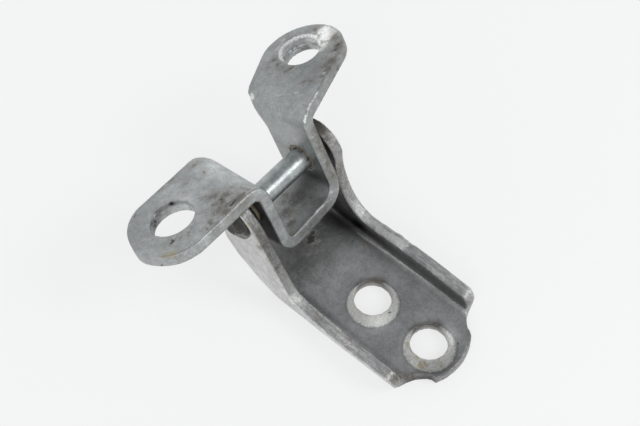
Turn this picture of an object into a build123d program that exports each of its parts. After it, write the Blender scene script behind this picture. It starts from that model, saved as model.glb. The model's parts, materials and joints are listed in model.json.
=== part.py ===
"""Car door hinge: a pressed base bracket, a hat-shaped wing bracket, two bushes and a pin.

Millimetres. X runs along the pin, +Z is up from the face that the base is bolted down on,
and -Y points to the rounded tongue of the base. The origin is the middle of the two bolt
holes of the base, on its underside. The wing bracket stands as it was left, turned back
about the pin.
"""

import math
import os

from build123d import *

# Sheet, pin and bushes
sheet = 4.2  # thickness of both pressed brackets
bend_radius = 1.8  # inside radius of an ordinary bend
pin_diameter = 8.0
pin_clearance = 0.05  # between pin and bush, on the radius
bush_wall = 1.0
bush_flange_diameter = 11.2
bush_flange_thickness = 1.2

# Pin axis over the base
pin_y = 52.0
pin_height = 36.0
wing_angle = 25.5  # how far the wing bracket is turned back from upright, degrees

# Base bracket: web, tongue and low side flanges
bolt_pitch = 24.0
bolt_hole_diameter = 12.5
web_half_width = 15.6  # to the inside corner of the flange, at the tongue
web_half_width_ears = 16.6  # the same between the ears
flange_lean = 14.5  # how far the low flanges lean outward, degrees
flange_front_y = -14.1
flange_corner_radius = 4.0
lean_ends_y = 30.0  # from here on the sides stand upright
lean_starts_y = 4.0  # up to here they have their full lean
web_rear_y = 53.0
web_rear_radius = 4.0
web_rear_left = [  # the web's left edge from where the bend ends to its rear edge
    (-16.9, 44.0),
    (-13.0, 50.0),
    (-8.0, web_rear_y),
]
tongue_edge = [  # plan of the tongue's rounded end, x and y, from right to left
    (12.1, -18.4),
    (11.2, -20.3),
    (7.4, -22.8),
    (3.0, -24.0),
    (-2.1, -24.0),
    (-6.6, -22.9),
    (-8.5, -22.0),
]
tongue_neck_right = [(12.1, -18.4), (14.0, -16.3), (17.0, -14.6), (20.0, flange_front_y)]
tongue_neck_left = [
    (-19.0, flange_front_y),
    (-16.2, -14.6),
    (-13.3, -15.7),
    (-9.8, -18.4),
    (-8.5, -20.4),
]

# Base bracket: outline of each side seen along the pin, y and z
ear_radius_right = 9.1
ear_radius_left = 7.1
left_ear_outward = 0.6  # the left ear stands this much further out
right_front_edge = [
    (13.5, 10.2),
    (27.2, 11.0),
    (33.4, 12.5),
    (36.1, 14.8),
    (39.1, 19.3),
    (41.2, 25.1),
    (42.5, 30.5),
    (42.9, 36.0),
]
left_front_edge = [
    (11.8, 8.6),
    (25.2, 9.4),
    (28.6, 10.8),
    (32.6, 16.1),
    (37.3, 25.3),
    (40.6, 31.5),
    (44.2, 38.0),
    (46.6, 40.5),
]
flange_height_right = 10.0  # top of the low flange at its front end
flange_height_left = 9.6
right_rear_edge = [(60.8, 32.0), (58.8, 19.0), (54.2, 6.0), (52.0, 0.0)]
left_rear_edge = [(58.8, 32.0), (57.2, 21.0), (52.2, 14.6), (43.2, 8.2), (36.0, 5.0), (31.0, 0.0)]
rear_edge_radius = 6.0

# Wing bracket: tray, legs and tabs, from the pin axis in its own turned frame
leg_outside = 14.7  # half width over the legs
strip_front = 9.6  # front edge ahead of the pin axis
strip_rear = 12.3  # rear edge of legs and tray behind it
tray_depth_left = 13.6  # inside face of the tray below the pin axis
tray_depth_right = 12.0
tray_radius_right = 5.0  # inside radius of the tray's wider bend
left_tab_height = 12.0  # top face above the pin axis
right_tab_height = 20.5
left_tab_rear = 22.9
left_tab_front_x = -38.4  # where the straight front edge ends
left_tab_rear_x = -36.0  # where the straight rear edge ends
left_tab_reach = 51.9  # the round end's furthest point from the middle
left_tab_edge = [  # plan of the left tab's round end, x and w, from front to rear
    (-42.0, -8.8),
    (-45.8, -6.8),
    (-49.4, -2.4),
    (-51.4, 2.6),
    (-left_tab_reach, 6.4),
    (-50.6, 11.2),
    (-47.9, 16.7),
    (-44.4, 20.4),
    (-40.6, 22.4),
]
# Rear edge of each leg where it bends to its tab: distance along the bend and w
left_leg_rear = [(5.5, 12.3), (8.5, 14.2), (11.5, 18.6), (14.0, 22.9)]
right_leg_rear = [(12.7, 12.3), (15.9, 13.4), (17.9, 14.6), (21.9, 17.8), (24.0, 20.4)]
left_hole_x = -35.9
left_hole_w = 7.3
left_hole_diameter = 14.8
right_hole_x = 35.0
right_hole_w = 14.8
right_hole_diameter = 12.4
right_tab_radius = 14.6
right_tab_front_angle = 22.0  # its edges against the pin axis, degrees
right_tab_rear_angle = 29.5

# Hinge pin
pin_head_diameter = 13.6
pin_head_thickness = 1.0
pin_boss_diameter = 9.6
pin_boss_thickness = 1.4
pin_tail_diameter = 9.6
pin_tail_thickness = 1.6

margin = 5.0  # how far cutting tools run past the sheet

ear_inside_right = web_half_width_ears - 0.3
ear_inside_left = ear_inside_right + left_ear_outward
ear_outside_right = ear_inside_right + sheet
ear_outside_left = ear_inside_left + sheet
pin_radius = pin_diameter / 2
bush_inner_radius = pin_radius + pin_clearance
bush_outer_radius = bush_inner_radius + bush_wall


def turned(x, w, u):
    """Row-frame point of a place given along the pin (x), across (w) and up (u) the wing."""
    lean = math.radians(wing_angle)
    y = pin_y + w * math.cos(lean) + u * math.sin(lean)
    z = pin_height - w * math.sin(lean) + u * math.cos(lean)
    return Vector(x, y, z)


across = turned(0, 1, 0) - turned(0, 0, 0)
upward = turned(0, 0, 1) - turned(0, 0, 0)


def lean_at(y):
    """Outward lean of the base's sides at a place along it, in radians."""
    share = min(max((lean_ends_y - y) / (lean_ends_y - lean_starts_y), 0.0), 1.0)
    return math.radians(flange_lean) * share * share * (3 - 2 * share)


def half_width_at(y, outward):
    """Half width of the web to the inside corner of one side."""
    share = min(max((y - flange_front_y) / (lean_ends_y - flange_front_y), 0.0), 1.0)
    wide = ear_inside_right + outward
    return web_half_width + (wide - web_half_width) * share


def channel_section(y, wall):
    """Closed section of the base at one place, with sides of one slant length."""
    lean = lean_at(y)
    up = Vector(math.sin(lean), math.cos(lean))
    out = Vector(math.cos(lean), -math.sin(lean))
    inner = []
    outer = []
    for side, outward in ((-1, left_ear_outward), (1, 0.0)):
        corner = Vector(half_width_at(y, outward), sheet)
        foot = Vector(corner.X + sheet * (1 - math.sin(lean)) / math.cos(lean), 0)
        top = corner + up * wall
        inner.append([(side * p.X, p.Y) for p in (top, corner)])
        outer.append([(side * p.X, p.Y) for p in (top + out * sheet, foot)])
    points = [*inner[0], *reversed(inner[1]), *outer[1], *reversed(outer[0])]
    radii = [0, bend_radius, bend_radius, 0, 0, bend_radius + sheet, bend_radius + sheet, 0]
    with BuildSketch(Plane(origin=(0, y, 0), x_dir=(1, 0, 0), z_dir=(0, -1, 0))) as section:
        with BuildLine():
            FilletPolyline(*points, radius=radii, close=True)
        make_face()
    return section.sketch


# Base bracket: the channel before its outline is cut
wall_length = pin_height + ear_radius_right + margin
section_places = [-40.0, lean_starts_y]
section_places += [lean_starts_y + (lean_ends_y - lean_starts_y) * k / 6 for k in range(1, 7)]
section_places += [pin_y + ear_radius_right + margin]
with BuildPart() as channel:
    for place in section_places:
        add(channel_section(place, wall_length))
    loft(ruled=True)


def side_face(front_edge, rear_edge, flange_height, radius):
    """Side view of one side: low flange, rising front edge, round ear and rear edge."""
    start = (flange_front_y, flange_height)
    ear = (pin_y, pin_height)
    with BuildSketch(Plane.YZ) as face:
        with BuildLine():
            Spline(*front_edge)
            Polyline(front_edge[0], start, (flange_front_y, -margin), (rear_edge[-1][0], -margin))
            Line((rear_edge[-1][0], -margin), rear_edge[-1])
            FilletPolyline(*reversed(rear_edge), radius=rear_edge_radius)
            Polyline(rear_edge[0], ear, front_edge[-1])
        make_face()
        fillet(face.vertices().sort_by_distance(start)[0], flange_corner_radius)
        with Locations(ear):
            Circle(radius)
    return face.sketch


with BuildPart() as side_outline:
    extrude(
        side_face(right_front_edge, right_rear_edge, flange_height_right, ear_radius_right),
        amount=ear_outside_right + margin,
    )
    extrude(
        side_face(left_front_edge, left_rear_edge, flange_height_left, ear_radius_left),
        amount=-ear_outside_left - margin,
    )
    with BuildSketch():
        with BuildLine():
            Spline(*tongue_edge)
            Line(tongue_edge[-1], tongue_neck_left[-1])
            Spline(*tongue_neck_left)
            Polyline(
                tongue_neck_left[0],
                (tongue_neck_left[0][0], 0),
                (tongue_neck_right[-1][0], 0),
                tongue_neck_right[-1],
            )
            Spline(*tongue_neck_right)
        make_face()
    extrude(amount=sheet)
    with BuildSketch():
        with BuildLine():
            Polyline((web_rear_left[0][0], 0), *web_rear_left)
            Polyline(
                web_rear_left[-1],
                (web_half_width_ears, web_rear_y),
                (web_half_width_ears, 0),
                (web_rear_left[0][0], 0),
            )
        make_face()
        fillet(vertices().filter_by(lambda v: v.X < 0 < v.Y), web_rear_radius)
    extrude(amount=sheet)

with BuildPart() as base_bracket:
    add(channel.part)
    add(side_outline.part, mode=Mode.INTERSECT)
    with Locations((0, bolt_pitch / 2), (0, -bolt_pitch / 2)):
        Hole(bolt_hole_diameter / 2)
    with Locations(Plane(origin=(0, pin_y, pin_height), z_dir=(1, 0, 0))):
        Hole(pin_radius)
base_bracket.part.label = "base_bracket"

# Wing bracket: the folded strip, then its outline seen from the side and from above
inside = leg_outside - sheet
strip_path = [
    (-left_tab_reach - margin, left_tab_height),
    (-inside, left_tab_height),
    (-inside, -tray_depth_left),
    (inside, -tray_depth_right),
    (inside, right_tab_height),
    (right_hole_x + right_tab_radius + margin, right_tab_height),
]
outer_bend = bend_radius + sheet
strip_radii = [outer_bend, bend_radius, tray_radius_right, outer_bend]
wing_rear = right_hole_w + right_tab_radius + margin
strip_plane = Plane(origin=turned(0, 0, 0), x_dir=(1, 0, 0), z_dir=-across)
side_plane = Plane(origin=turned(0, 0, 0), x_dir=across, z_dir=(1, 0, 0))
plan_plane = Plane(origin=turned(0, 0, 0), x_dir=(1, 0, 0), z_dir=upward)

with BuildPart() as strip:
    with BuildSketch(strip_plane):
        with BuildLine():
            FilletPolyline(*strip_path, radius=strip_radii)
            offset(amount=sheet, side=Side.RIGHT)
        make_face()
    extrude(amount=strip_front)
    extrude(strip.faces().sort_by(Axis(origin=(0, 0, 0), direction=across))[-1], amount=wing_rear)


def leg_half(rear_edge, side):
    """One leg and its tab, cut to the rear edge that is given square to their bend."""
    along = (upward + Vector(side, 0, 0)).normalized()
    low = -2 * (tray_depth_left + sheet)
    high = 2 * wing_rear
    with BuildPart() as half:
        with BuildSketch(Plane(origin=turned(0, 0, 0), x_dir=along, z_dir=along.cross(across))):
            with BuildLine():
                Spline(*rear_edge, tangents=[(1, 0), (1, 1)])
                Polyline(
                    rear_edge[-1],
                    (rear_edge[-1][0], wing_rear),
                    (high, wing_rear),
                    (high, -strip_front - margin),
                    (low, -strip_front - margin),
                    (low, rear_edge[0][1]),
                    rear_edge[0],
                )
            make_face()
        extrude(amount=high, both=True)
        split(bisect_by=Plane(origin=turned(0, 0, 0), z_dir=(side, 0, 0)), keep=Keep.TOP)
    return half.part


front_slope = math.tan(math.radians(right_tab_front_angle))
rear_slope = math.tan(math.radians(right_tab_rear_angle))
front_turn = math.radians(right_tab_front_angle)
rear_turn = math.radians(right_tab_rear_angle)
front_touch = (
    right_hole_x + right_tab_radius * math.sin(front_turn),
    right_hole_w - right_tab_radius * math.cos(front_turn),
)
rear_touch = (
    right_hole_x - right_tab_radius * math.sin(rear_turn),
    right_hole_w + right_tab_radius * math.cos(rear_turn),
)
front_root_x = front_touch[0] - (front_touch[1] + strip_front) / front_slope
rear_root_w = rear_touch[1] - (rear_touch[0] - inside) * rear_slope

with BuildPart() as wing_outline:
    with BuildSketch(plan_plane):
        with BuildLine():
            Spline(
                (left_tab_front_x, -strip_front),
                *left_tab_edge,
                (left_tab_rear_x, left_tab_rear),
            )
            Polyline(
                (left_tab_rear_x, left_tab_rear),
                (0, left_tab_rear),
                (0, -strip_front),
                (left_tab_front_x, -strip_front),
            )
        make_face()
        with BuildLine():
            Polyline(
                (0, -strip_front),
                (front_root_x, -strip_front),
                front_touch,
                (right_hole_x, right_hole_w),
                rear_touch,
                (inside, rear_root_w),
                (0, rear_root_w),
                close=True,
            )
        make_face()
        with Locations((right_hole_x, right_hole_w)):
            Circle(right_tab_radius)
    extrude(amount=right_tab_height + margin)
    extrude(wing_outline.faces().sort_by(Axis((0, 0, 0), upward))[0], amount=tray_depth_left + sheet + margin)

with BuildPart() as wing_bracket:
    add(strip.part)
    add(wing_outline.part, mode=Mode.INTERSECT)
    add(leg_half(left_leg_rear, -1) + leg_half(right_leg_rear, 1), mode=Mode.INTERSECT)
    with Locations(Plane(origin=turned(left_hole_x, left_hole_w, left_tab_height), z_dir=upward)):
        Hole(left_hole_diameter / 2, depth=sheet + margin)
    with Locations(Plane(origin=turned(right_hole_x, right_hole_w, right_tab_height), z_dir=upward)):
        Hole(right_hole_diameter / 2, depth=sheet + margin)
    with Locations(Plane(origin=turned(0, 0, 0), z_dir=(1, 0, 0))):
        Hole(bush_outer_radius)
wing_bracket.part.label = "wing_bracket"

# Bushes: a plain sleeve in each leg, with its flange in the gap to the ear
sleeve_profile = [
    (0, bush_inner_radius),
    (0, bush_outer_radius),
    (sheet, bush_outer_radius),
    (sheet, bush_flange_diameter / 2),
    (sheet + bush_flange_thickness, bush_flange_diameter / 2),
    (sheet + bush_flange_thickness, bush_inner_radius),
]
bushes = {}
for name, side in (("left_bush", -1), ("right_bush", 1)):
    axis_plane = Plane(
        origin=(side * inside, pin_y, pin_height), x_dir=(side, 0, 0), z_dir=(0, -side, 0)
    )
    with BuildPart() as bush:
        with BuildSketch(axis_plane):
            with BuildLine():
                Polyline(*sleeve_profile, close=True)
            make_face()
        revolve(axis=Axis((0, pin_y, pin_height), (1, 0, 0)))
    bush.part.label = name
    bushes[name] = bush.part

# Hinge pin: shank, round head outside the left ear, riveted tail outside the right one
with BuildPart() as hinge_pin:
    with BuildSketch(Plane(origin=(0, pin_y, pin_height), x_dir=(1, 0, 0), z_dir=(0, -1, 0))):
        with BuildLine():
            Polyline(
                (-ear_outside_left - pin_head_thickness - pin_boss_thickness, 0),
                (-ear_outside_left - pin_head_thickness - pin_boss_thickness, pin_radius),
                (-ear_outside_left - pin_head_thickness, pin_boss_diameter / 2),
                (-ear_outside_left - pin_head_thickness, pin_head_diameter / 2),
                (-ear_outside_left, pin_head_diameter / 2),
                (-ear_outside_left, pin_radius),
                (ear_outside_right, pin_radius),
                (ear_outside_right, pin_tail_diameter / 2),
                (ear_outside_right + pin_tail_thickness, pin_radius),
                (ear_outside_right + pin_tail_thickness, 0),
                close=True,
            )
        make_face()
    revolve(axis=Axis((0, pin_y, pin_height), (1, 0, 0)))
hinge_pin.part.label = "hinge_pin"

os.makedirs("parts", exist_ok=True)
export_step(base_bracket.part, "parts/base_bracket.step")
export_step(wing_bracket.part, "parts/wing_bracket.step")
export_step(bushes["left_bush"], "parts/left_bush.step")
export_step(bushes["right_bush"], "parts/right_bush.step")
export_step(hinge_pin.part, "parts/hinge_pin.step")
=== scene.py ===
"""Looks of the car door hinge: two worn steel pressings, their pin and bushes.

Every shape is worked out in millimetres in the row frame and put into metres at the end.
The wing bracket is also measured in its own turned frame: x along the pin, w across the
wing and u up from the pin's axis.
"""

import json
import logging
import math
from collections.abc import Callable, Sequence
from dataclasses import dataclass
from enum import Enum

import bmesh
import bpy
import numpy as np
from mathutils import Matrix, Vector

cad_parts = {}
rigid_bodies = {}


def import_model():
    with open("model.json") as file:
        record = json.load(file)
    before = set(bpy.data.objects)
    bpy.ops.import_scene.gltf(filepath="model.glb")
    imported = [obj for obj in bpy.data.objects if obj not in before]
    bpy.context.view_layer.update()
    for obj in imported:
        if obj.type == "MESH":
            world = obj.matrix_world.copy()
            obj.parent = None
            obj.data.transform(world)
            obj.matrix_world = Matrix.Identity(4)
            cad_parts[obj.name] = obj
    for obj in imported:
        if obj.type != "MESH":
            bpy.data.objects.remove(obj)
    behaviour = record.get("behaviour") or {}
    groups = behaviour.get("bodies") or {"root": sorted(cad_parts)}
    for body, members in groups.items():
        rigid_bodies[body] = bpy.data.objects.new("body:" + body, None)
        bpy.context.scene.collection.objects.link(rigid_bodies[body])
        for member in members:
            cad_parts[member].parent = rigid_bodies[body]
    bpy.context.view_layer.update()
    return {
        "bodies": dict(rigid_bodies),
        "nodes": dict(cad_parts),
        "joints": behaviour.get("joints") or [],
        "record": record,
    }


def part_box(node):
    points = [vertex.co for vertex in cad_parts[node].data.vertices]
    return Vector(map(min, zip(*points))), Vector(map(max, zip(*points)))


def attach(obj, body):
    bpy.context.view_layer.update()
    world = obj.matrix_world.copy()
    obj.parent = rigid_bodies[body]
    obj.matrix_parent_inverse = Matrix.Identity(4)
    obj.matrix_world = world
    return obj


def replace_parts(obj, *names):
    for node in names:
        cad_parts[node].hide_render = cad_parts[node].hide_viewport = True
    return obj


log = logging.getLogger("door_hinge")

MM = 0.001
PER_METRE = 1000.0
PHOTO_WIDTH = 640
SHEET = 4.2
PIN_AXIS = np.array([0.0, 52.0, 36.0])
WING_TURN = math.radians(25.5)

# In the wing's own frame.
LEG_INSIDE = 10.5
TAB_LEFT = 12.0
TAB_RIGHT = 20.5
WING_FRONT = -9.6
LEFT_HOLE = (-35.9, 7.3)
RIGHT_FOOTPRINT = (36.3, 17.0)

Place = tuple[float, float, float]
Colour = tuple[float, float, float, float]

UP: Place = (0.0, 0.0, 1.0)
WING_UP: Place = (0.0, math.sin(WING_TURN), math.cos(WING_TURN))


class Body(Enum):
    """The two bodies that turn against each other."""

    BASE = "base"
    WING = "wing"


class Slot(Enum):
    """Material slots of the record."""

    BASE = "base_steel"
    WING = "wing_steel"
    PIN = "pin_steel"
    BUSH = "bush"


class Layer(Enum):
    """Named layers of wear, painted highlights and painted light and shade that a pressing's mesh carries for
    its finish.
    """

    RIM = "rim"
    # Bare metal, and painted highlights along edges and bends.
    BARE_AND_HIGHLIGHT = "bare"
    RUST = "rust"
    SOOT = "soot"
    OCHRE = "ochre"
    # Paler places, and painted light on the base's outsides.
    PALE_AND_PAINTED_LIGHT = "pale"
    # Painted light and shade, with some lighter or darker wear, that scales a colour's value.
    SHADE_LIGHT_AND_WEAR = "tone"
    FILM = "film"
    CRUMBS = "crumbs"


@dataclass(frozen=True)
class Mark:
    """A mark on a surface, round or drawn out to a second place, in row-frame millimetres."""

    place: Place
    radius: float
    strength: float = 1.0
    end: Place | None = None


WearPlan = dict[Layer, tuple[Mark, ...]]


@dataclass(frozen=True)
class Washer:
    """The flat, bare footprint of a washer, round its own middle."""

    place: Place
    axis: Place
    radius: float
    depth: float
    strength: float


def smoothstep(low: float, high: float, value: np.ndarray) -> np.ndarray:
    """Smooth ramp from 0 at low to 1 at high."""
    t = np.clip((value - low) / (high - low), 0.0, 1.0)
    return t * t * (3.0 - 2.0 * t)


def lattice(cells: np.ndarray, seed: int) -> np.ndarray:
    """Fixed pseudo-random value from 0 to 1 of each whole-numbered cell.

    Args:
        cells: Whole numbers, three to a row.
        seed: Which of the patterns.

    Returns:
        One value a row.
    """
    mixed = cells.astype(np.int64) @ np.array([73856093, 19349663, 83492791])
    mixed = (mixed ^ (seed * 2654435761)) & 0xFFFFFFFF
    mixed = ((mixed ^ (mixed >> 15)) * 2246822519) & 0xFFFFFFFF
    mixed = ((mixed ^ (mixed >> 13)) * 3266489917) & 0xFFFFFFFF
    return ((mixed ^ (mixed >> 16)) & 0xFFFFFF) / float(0xFFFFFF)


def cloud(points: np.ndarray, size: float, seed: int, octaves: int = 2) -> np.ndarray:
    """Smooth noise from about -1 to 1 over a set of points.

    Args:
        points: Places in millimetres.
        size: Size of its largest lumps, in millimetres.
        seed: Which of the patterns.
        octaves: How many times finer noise is added.

    Returns:
        One value a point.
    """
    total = np.zeros(len(points))
    weight = 1.0
    whole = 0.0
    for octave in range(octaves):
        place = points * (2.0**octave / size)
        cell = np.floor(place)
        part = place - cell
        part = part * part * (3.0 - 2.0 * part)
        value = np.zeros(len(points))
        for corner in range(8):
            step = np.array([corner & 1, (corner >> 1) & 1, (corner >> 2) & 1])
            share = np.prod(np.where(step, part, 1.0 - part), axis=1)
            value += share * lattice(cell + step, seed + octave)
        total += weight * (2.0 * value - 1.0)
        whole += weight
        weight *= 0.5
    return total / whole


def wing_to_row(x: float, w: float, u: float) -> Place:
    """Row-frame place, in millimetres, of a place in the wing's own frame.

    Args:
        x: Along the pin.
        w: Across the wing.
        u: Up from the pin's axis.

    Returns:
        The place.
    """
    y = PIN_AXIS[1] + w * math.cos(WING_TURN) + u * math.sin(WING_TURN)
    z = PIN_AXIS[2] - w * math.sin(WING_TURN) + u * math.cos(WING_TURN)
    return (x, float(y), float(z))


def wing_from(local: np.ndarray) -> np.ndarray:
    """Row-frame places of many places in the wing's own frame.

    Args:
        local: Places in the wing's frame, one to a row.

    Returns:
        Places in the row frame.
    """
    y = local[:, 1] * math.cos(WING_TURN) + local[:, 2] * math.sin(WING_TURN)
    z = -local[:, 1] * math.sin(WING_TURN) + local[:, 2] * math.cos(WING_TURN)
    return np.column_stack([local[:, 0], y, z]) + PIN_AXIS


def marks(place: Callable[..., Place], width: int, rows: Sequence[tuple[float, ...]]) -> tuple[Mark, ...]:
    """Marks of one surface or frame.

    Args:
        place: Turns a mark's own coordinates into row-frame millimetres.
        width: How many coordinates that takes.
        rows: Coordinates, radius and strength of each, and for a streak its end's coordinates.

    Returns:
        The marks.
    """
    made = []
    for row in rows:
        radius, strength, *end = row[width:]
        made.append(Mark(place(*row[:width]), radius, strength, place(*end) if end else None))
    return tuple(made)


def in_row(*rows: tuple[float, ...]) -> tuple[Mark, ...]:
    """Marks given by x, y and z in the row frame."""
    return marks(lambda x, y, z: (x, y, z), 3, rows)


def in_wing(*rows: tuple[float, ...]) -> tuple[Mark, ...]:
    """Marks given by x, w and u in the wing's own frame."""
    return marks(wing_to_row, 3, rows)


def on_web(*rows: tuple[float, ...]) -> tuple[Mark, ...]:
    """Marks on the base's web, given by x and y."""
    return marks(lambda x, y: (x, y, SHEET), 2, rows)


def on_wing(height: float, *rows: tuple[float, ...]) -> tuple[Mark, ...]:
    """Marks at one height of the wing, given by x and w."""
    return marks(lambda x, w: wing_to_row(x, w, height), 2, rows)


def on_front(*rows: tuple[float, ...]) -> tuple[Mark, ...]:
    """Marks on the wing's front cut edge, given by x and u."""
    return marks(lambda x, u: wing_to_row(x, WING_FRONT, u), 2, rows)


def pin_ring(x: float, reach: float, radius: float, strength: float) -> tuple[Mark, ...]:
    """Marks in an uneven ring round the pin.

    Args:
        x: The ring's place along the pin.
        reach: The ring's radius.
        radius: Radius of each mark.
        strength: Strength of the strongest.

    Returns:
        The marks.
    """
    made = []
    count = 12
    for step in range(count):
        angle = 2.0 * math.pi * step / count
        place = (x, PIN_AXIS[1] + reach * math.cos(angle), PIN_AXIS[2] + reach * math.sin(angle))
        made.append(Mark(place, radius, strength * (0.75 + 0.25 * math.cos(3.0 * angle))))
    return tuple(made)


class NodeSheet:
    """A node tree with short calls to place and join its nodes."""

    def __init__(self, tree: bpy.types.NodeTree) -> None:
        """Keeps the tree that the nodes go into."""
        self.tree = tree

    def node(self, kind: str, **settings: object) -> bpy.types.Node:
        """Adds one node.

        Args:
            kind: Blender's name of the node's type.
            **settings: Its properties, and by key "inputs" a dict of input values or sockets.

        Returns:
            The node.
        """
        inputs = settings.pop("inputs", {})
        made = self.tree.nodes.new(kind)
        for name, value in settings.items():
            setattr(made, name, value)
        for name, value in inputs.items():
            self.feed(made.inputs[name], value)
        return made

    def feed(self, socket: bpy.types.NodeSocket, value: object) -> None:
        """Links an input, or sets its value where no socket is given.

        Args:
            socket: The input.
            value: The output that it takes, or a plain value.
        """
        if isinstance(value, bpy.types.NodeSocket):
            self.tree.links.new(value, socket)
        else:
            socket.default_value = value

    def math(self, operation: str, *values: object, clamp: bool = False) -> bpy.types.NodeSocket:
        """Adds a Math node.

        Args:
            operation: Its operation.
            *values: Its inputs in order.
            clamp: Whether the result is held from 0 to 1.

        Returns:
            The result's socket.
        """
        made = self.node("ShaderNodeMath", operation=operation, use_clamp=clamp)
        for socket, value in zip(made.inputs, values):
            self.feed(socket, value)
        return made.outputs[0]

    def times(self, first: object, second: object, clamp: bool = False) -> bpy.types.NodeSocket:
        """The product of two values, as a socket."""
        return self.math("MULTIPLY", first, second, clamp=clamp)

    def noise(self, vector: object, scale: object, detail: float = 3.0,
              rough: float = 0.55) -> bpy.types.NodeSocket:
        """Adds a Noise Texture.

        Args:
            vector: Where it is read.
            scale: How fine its largest lumps are.
            detail: How many times finer noise is added.
            rough: How strong the finer noise is.

        Returns:
            The value's socket.
        """
        inputs = {"Vector": vector, "Scale": scale, "Detail": detail, "Roughness": rough}
        return self.node("ShaderNodeTexNoise", inputs=inputs).outputs[0]

    def ramp(self, value: object, low: object, high: object) -> bpy.types.NodeSocket:
        """Smooth ramp from 0 at low to 1 at high, as a socket."""
        inputs = {"Value": value, "From Min": low, "From Max": high}
        return self.node("ShaderNodeMapRange", interpolation_type="SMOOTHSTEP", inputs=inputs).outputs[0]

    def mix(self, factor: object, first: object, second: object) -> bpy.types.NodeSocket:
        """Adds a colour mix.

        Args:
            factor: Share of the second colour.
            first: The colour at 0.
            second: The colour at 1.

        Returns:
            The result's socket.
        """
        made = self.node("ShaderNodeMix", data_type="RGBA")
        for index, value in ((0, factor), (6, first), (7, second)):
            self.feed(made.inputs[index], value)
        return made.outputs[2]

    def bump(self, height: object, strength: float, distance: float) -> bpy.types.NodeSocket:
        """Adds a Bump node over a height, and gives its normal."""
        inputs = {"Strength": strength, "Distance": distance, "Height": height}
        return self.node("ShaderNodeBump", inputs=inputs).outputs[0]

    def layer(self, which: Layer) -> bpy.types.NodeSocket:
        """The value of one of the mesh's wear layers."""
        return self.node("ShaderNodeAttribute", attribute_name=which.value).outputs["Fac"]


def shader_group(
    name: str, inputs: Sequence[tuple[str, str, object]], outputs: Sequence[tuple[str, str]]
) -> tuple[NodeSheet, bpy.types.NodeOutputs, bpy.types.NodeInputs]:
    """Starts a shader node group with its named sockets.

    Args:
        name: The group's name.
        inputs: Name, short type and default value of each input.
        outputs: Name and short type of each output.

    Returns:
        The group's sheet, what it is given and what it has to put out.
    """
    group = bpy.data.node_groups.new(name, "ShaderNodeTree")
    for label, kind, value in inputs:
        socket = group.interface.new_socket(label, in_out="INPUT", socket_type=f"NodeSocket{kind}")
        if value is not None:
            socket.default_value = value
    for label, kind in outputs:
        group.interface.new_socket(label, in_out="OUTPUT", socket_type=f"NodeSocket{kind}")
    sheet = NodeSheet(group)
    return sheet, sheet.node("NodeGroupInput").outputs, sheet.node("NodeGroupOutput").inputs


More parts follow.
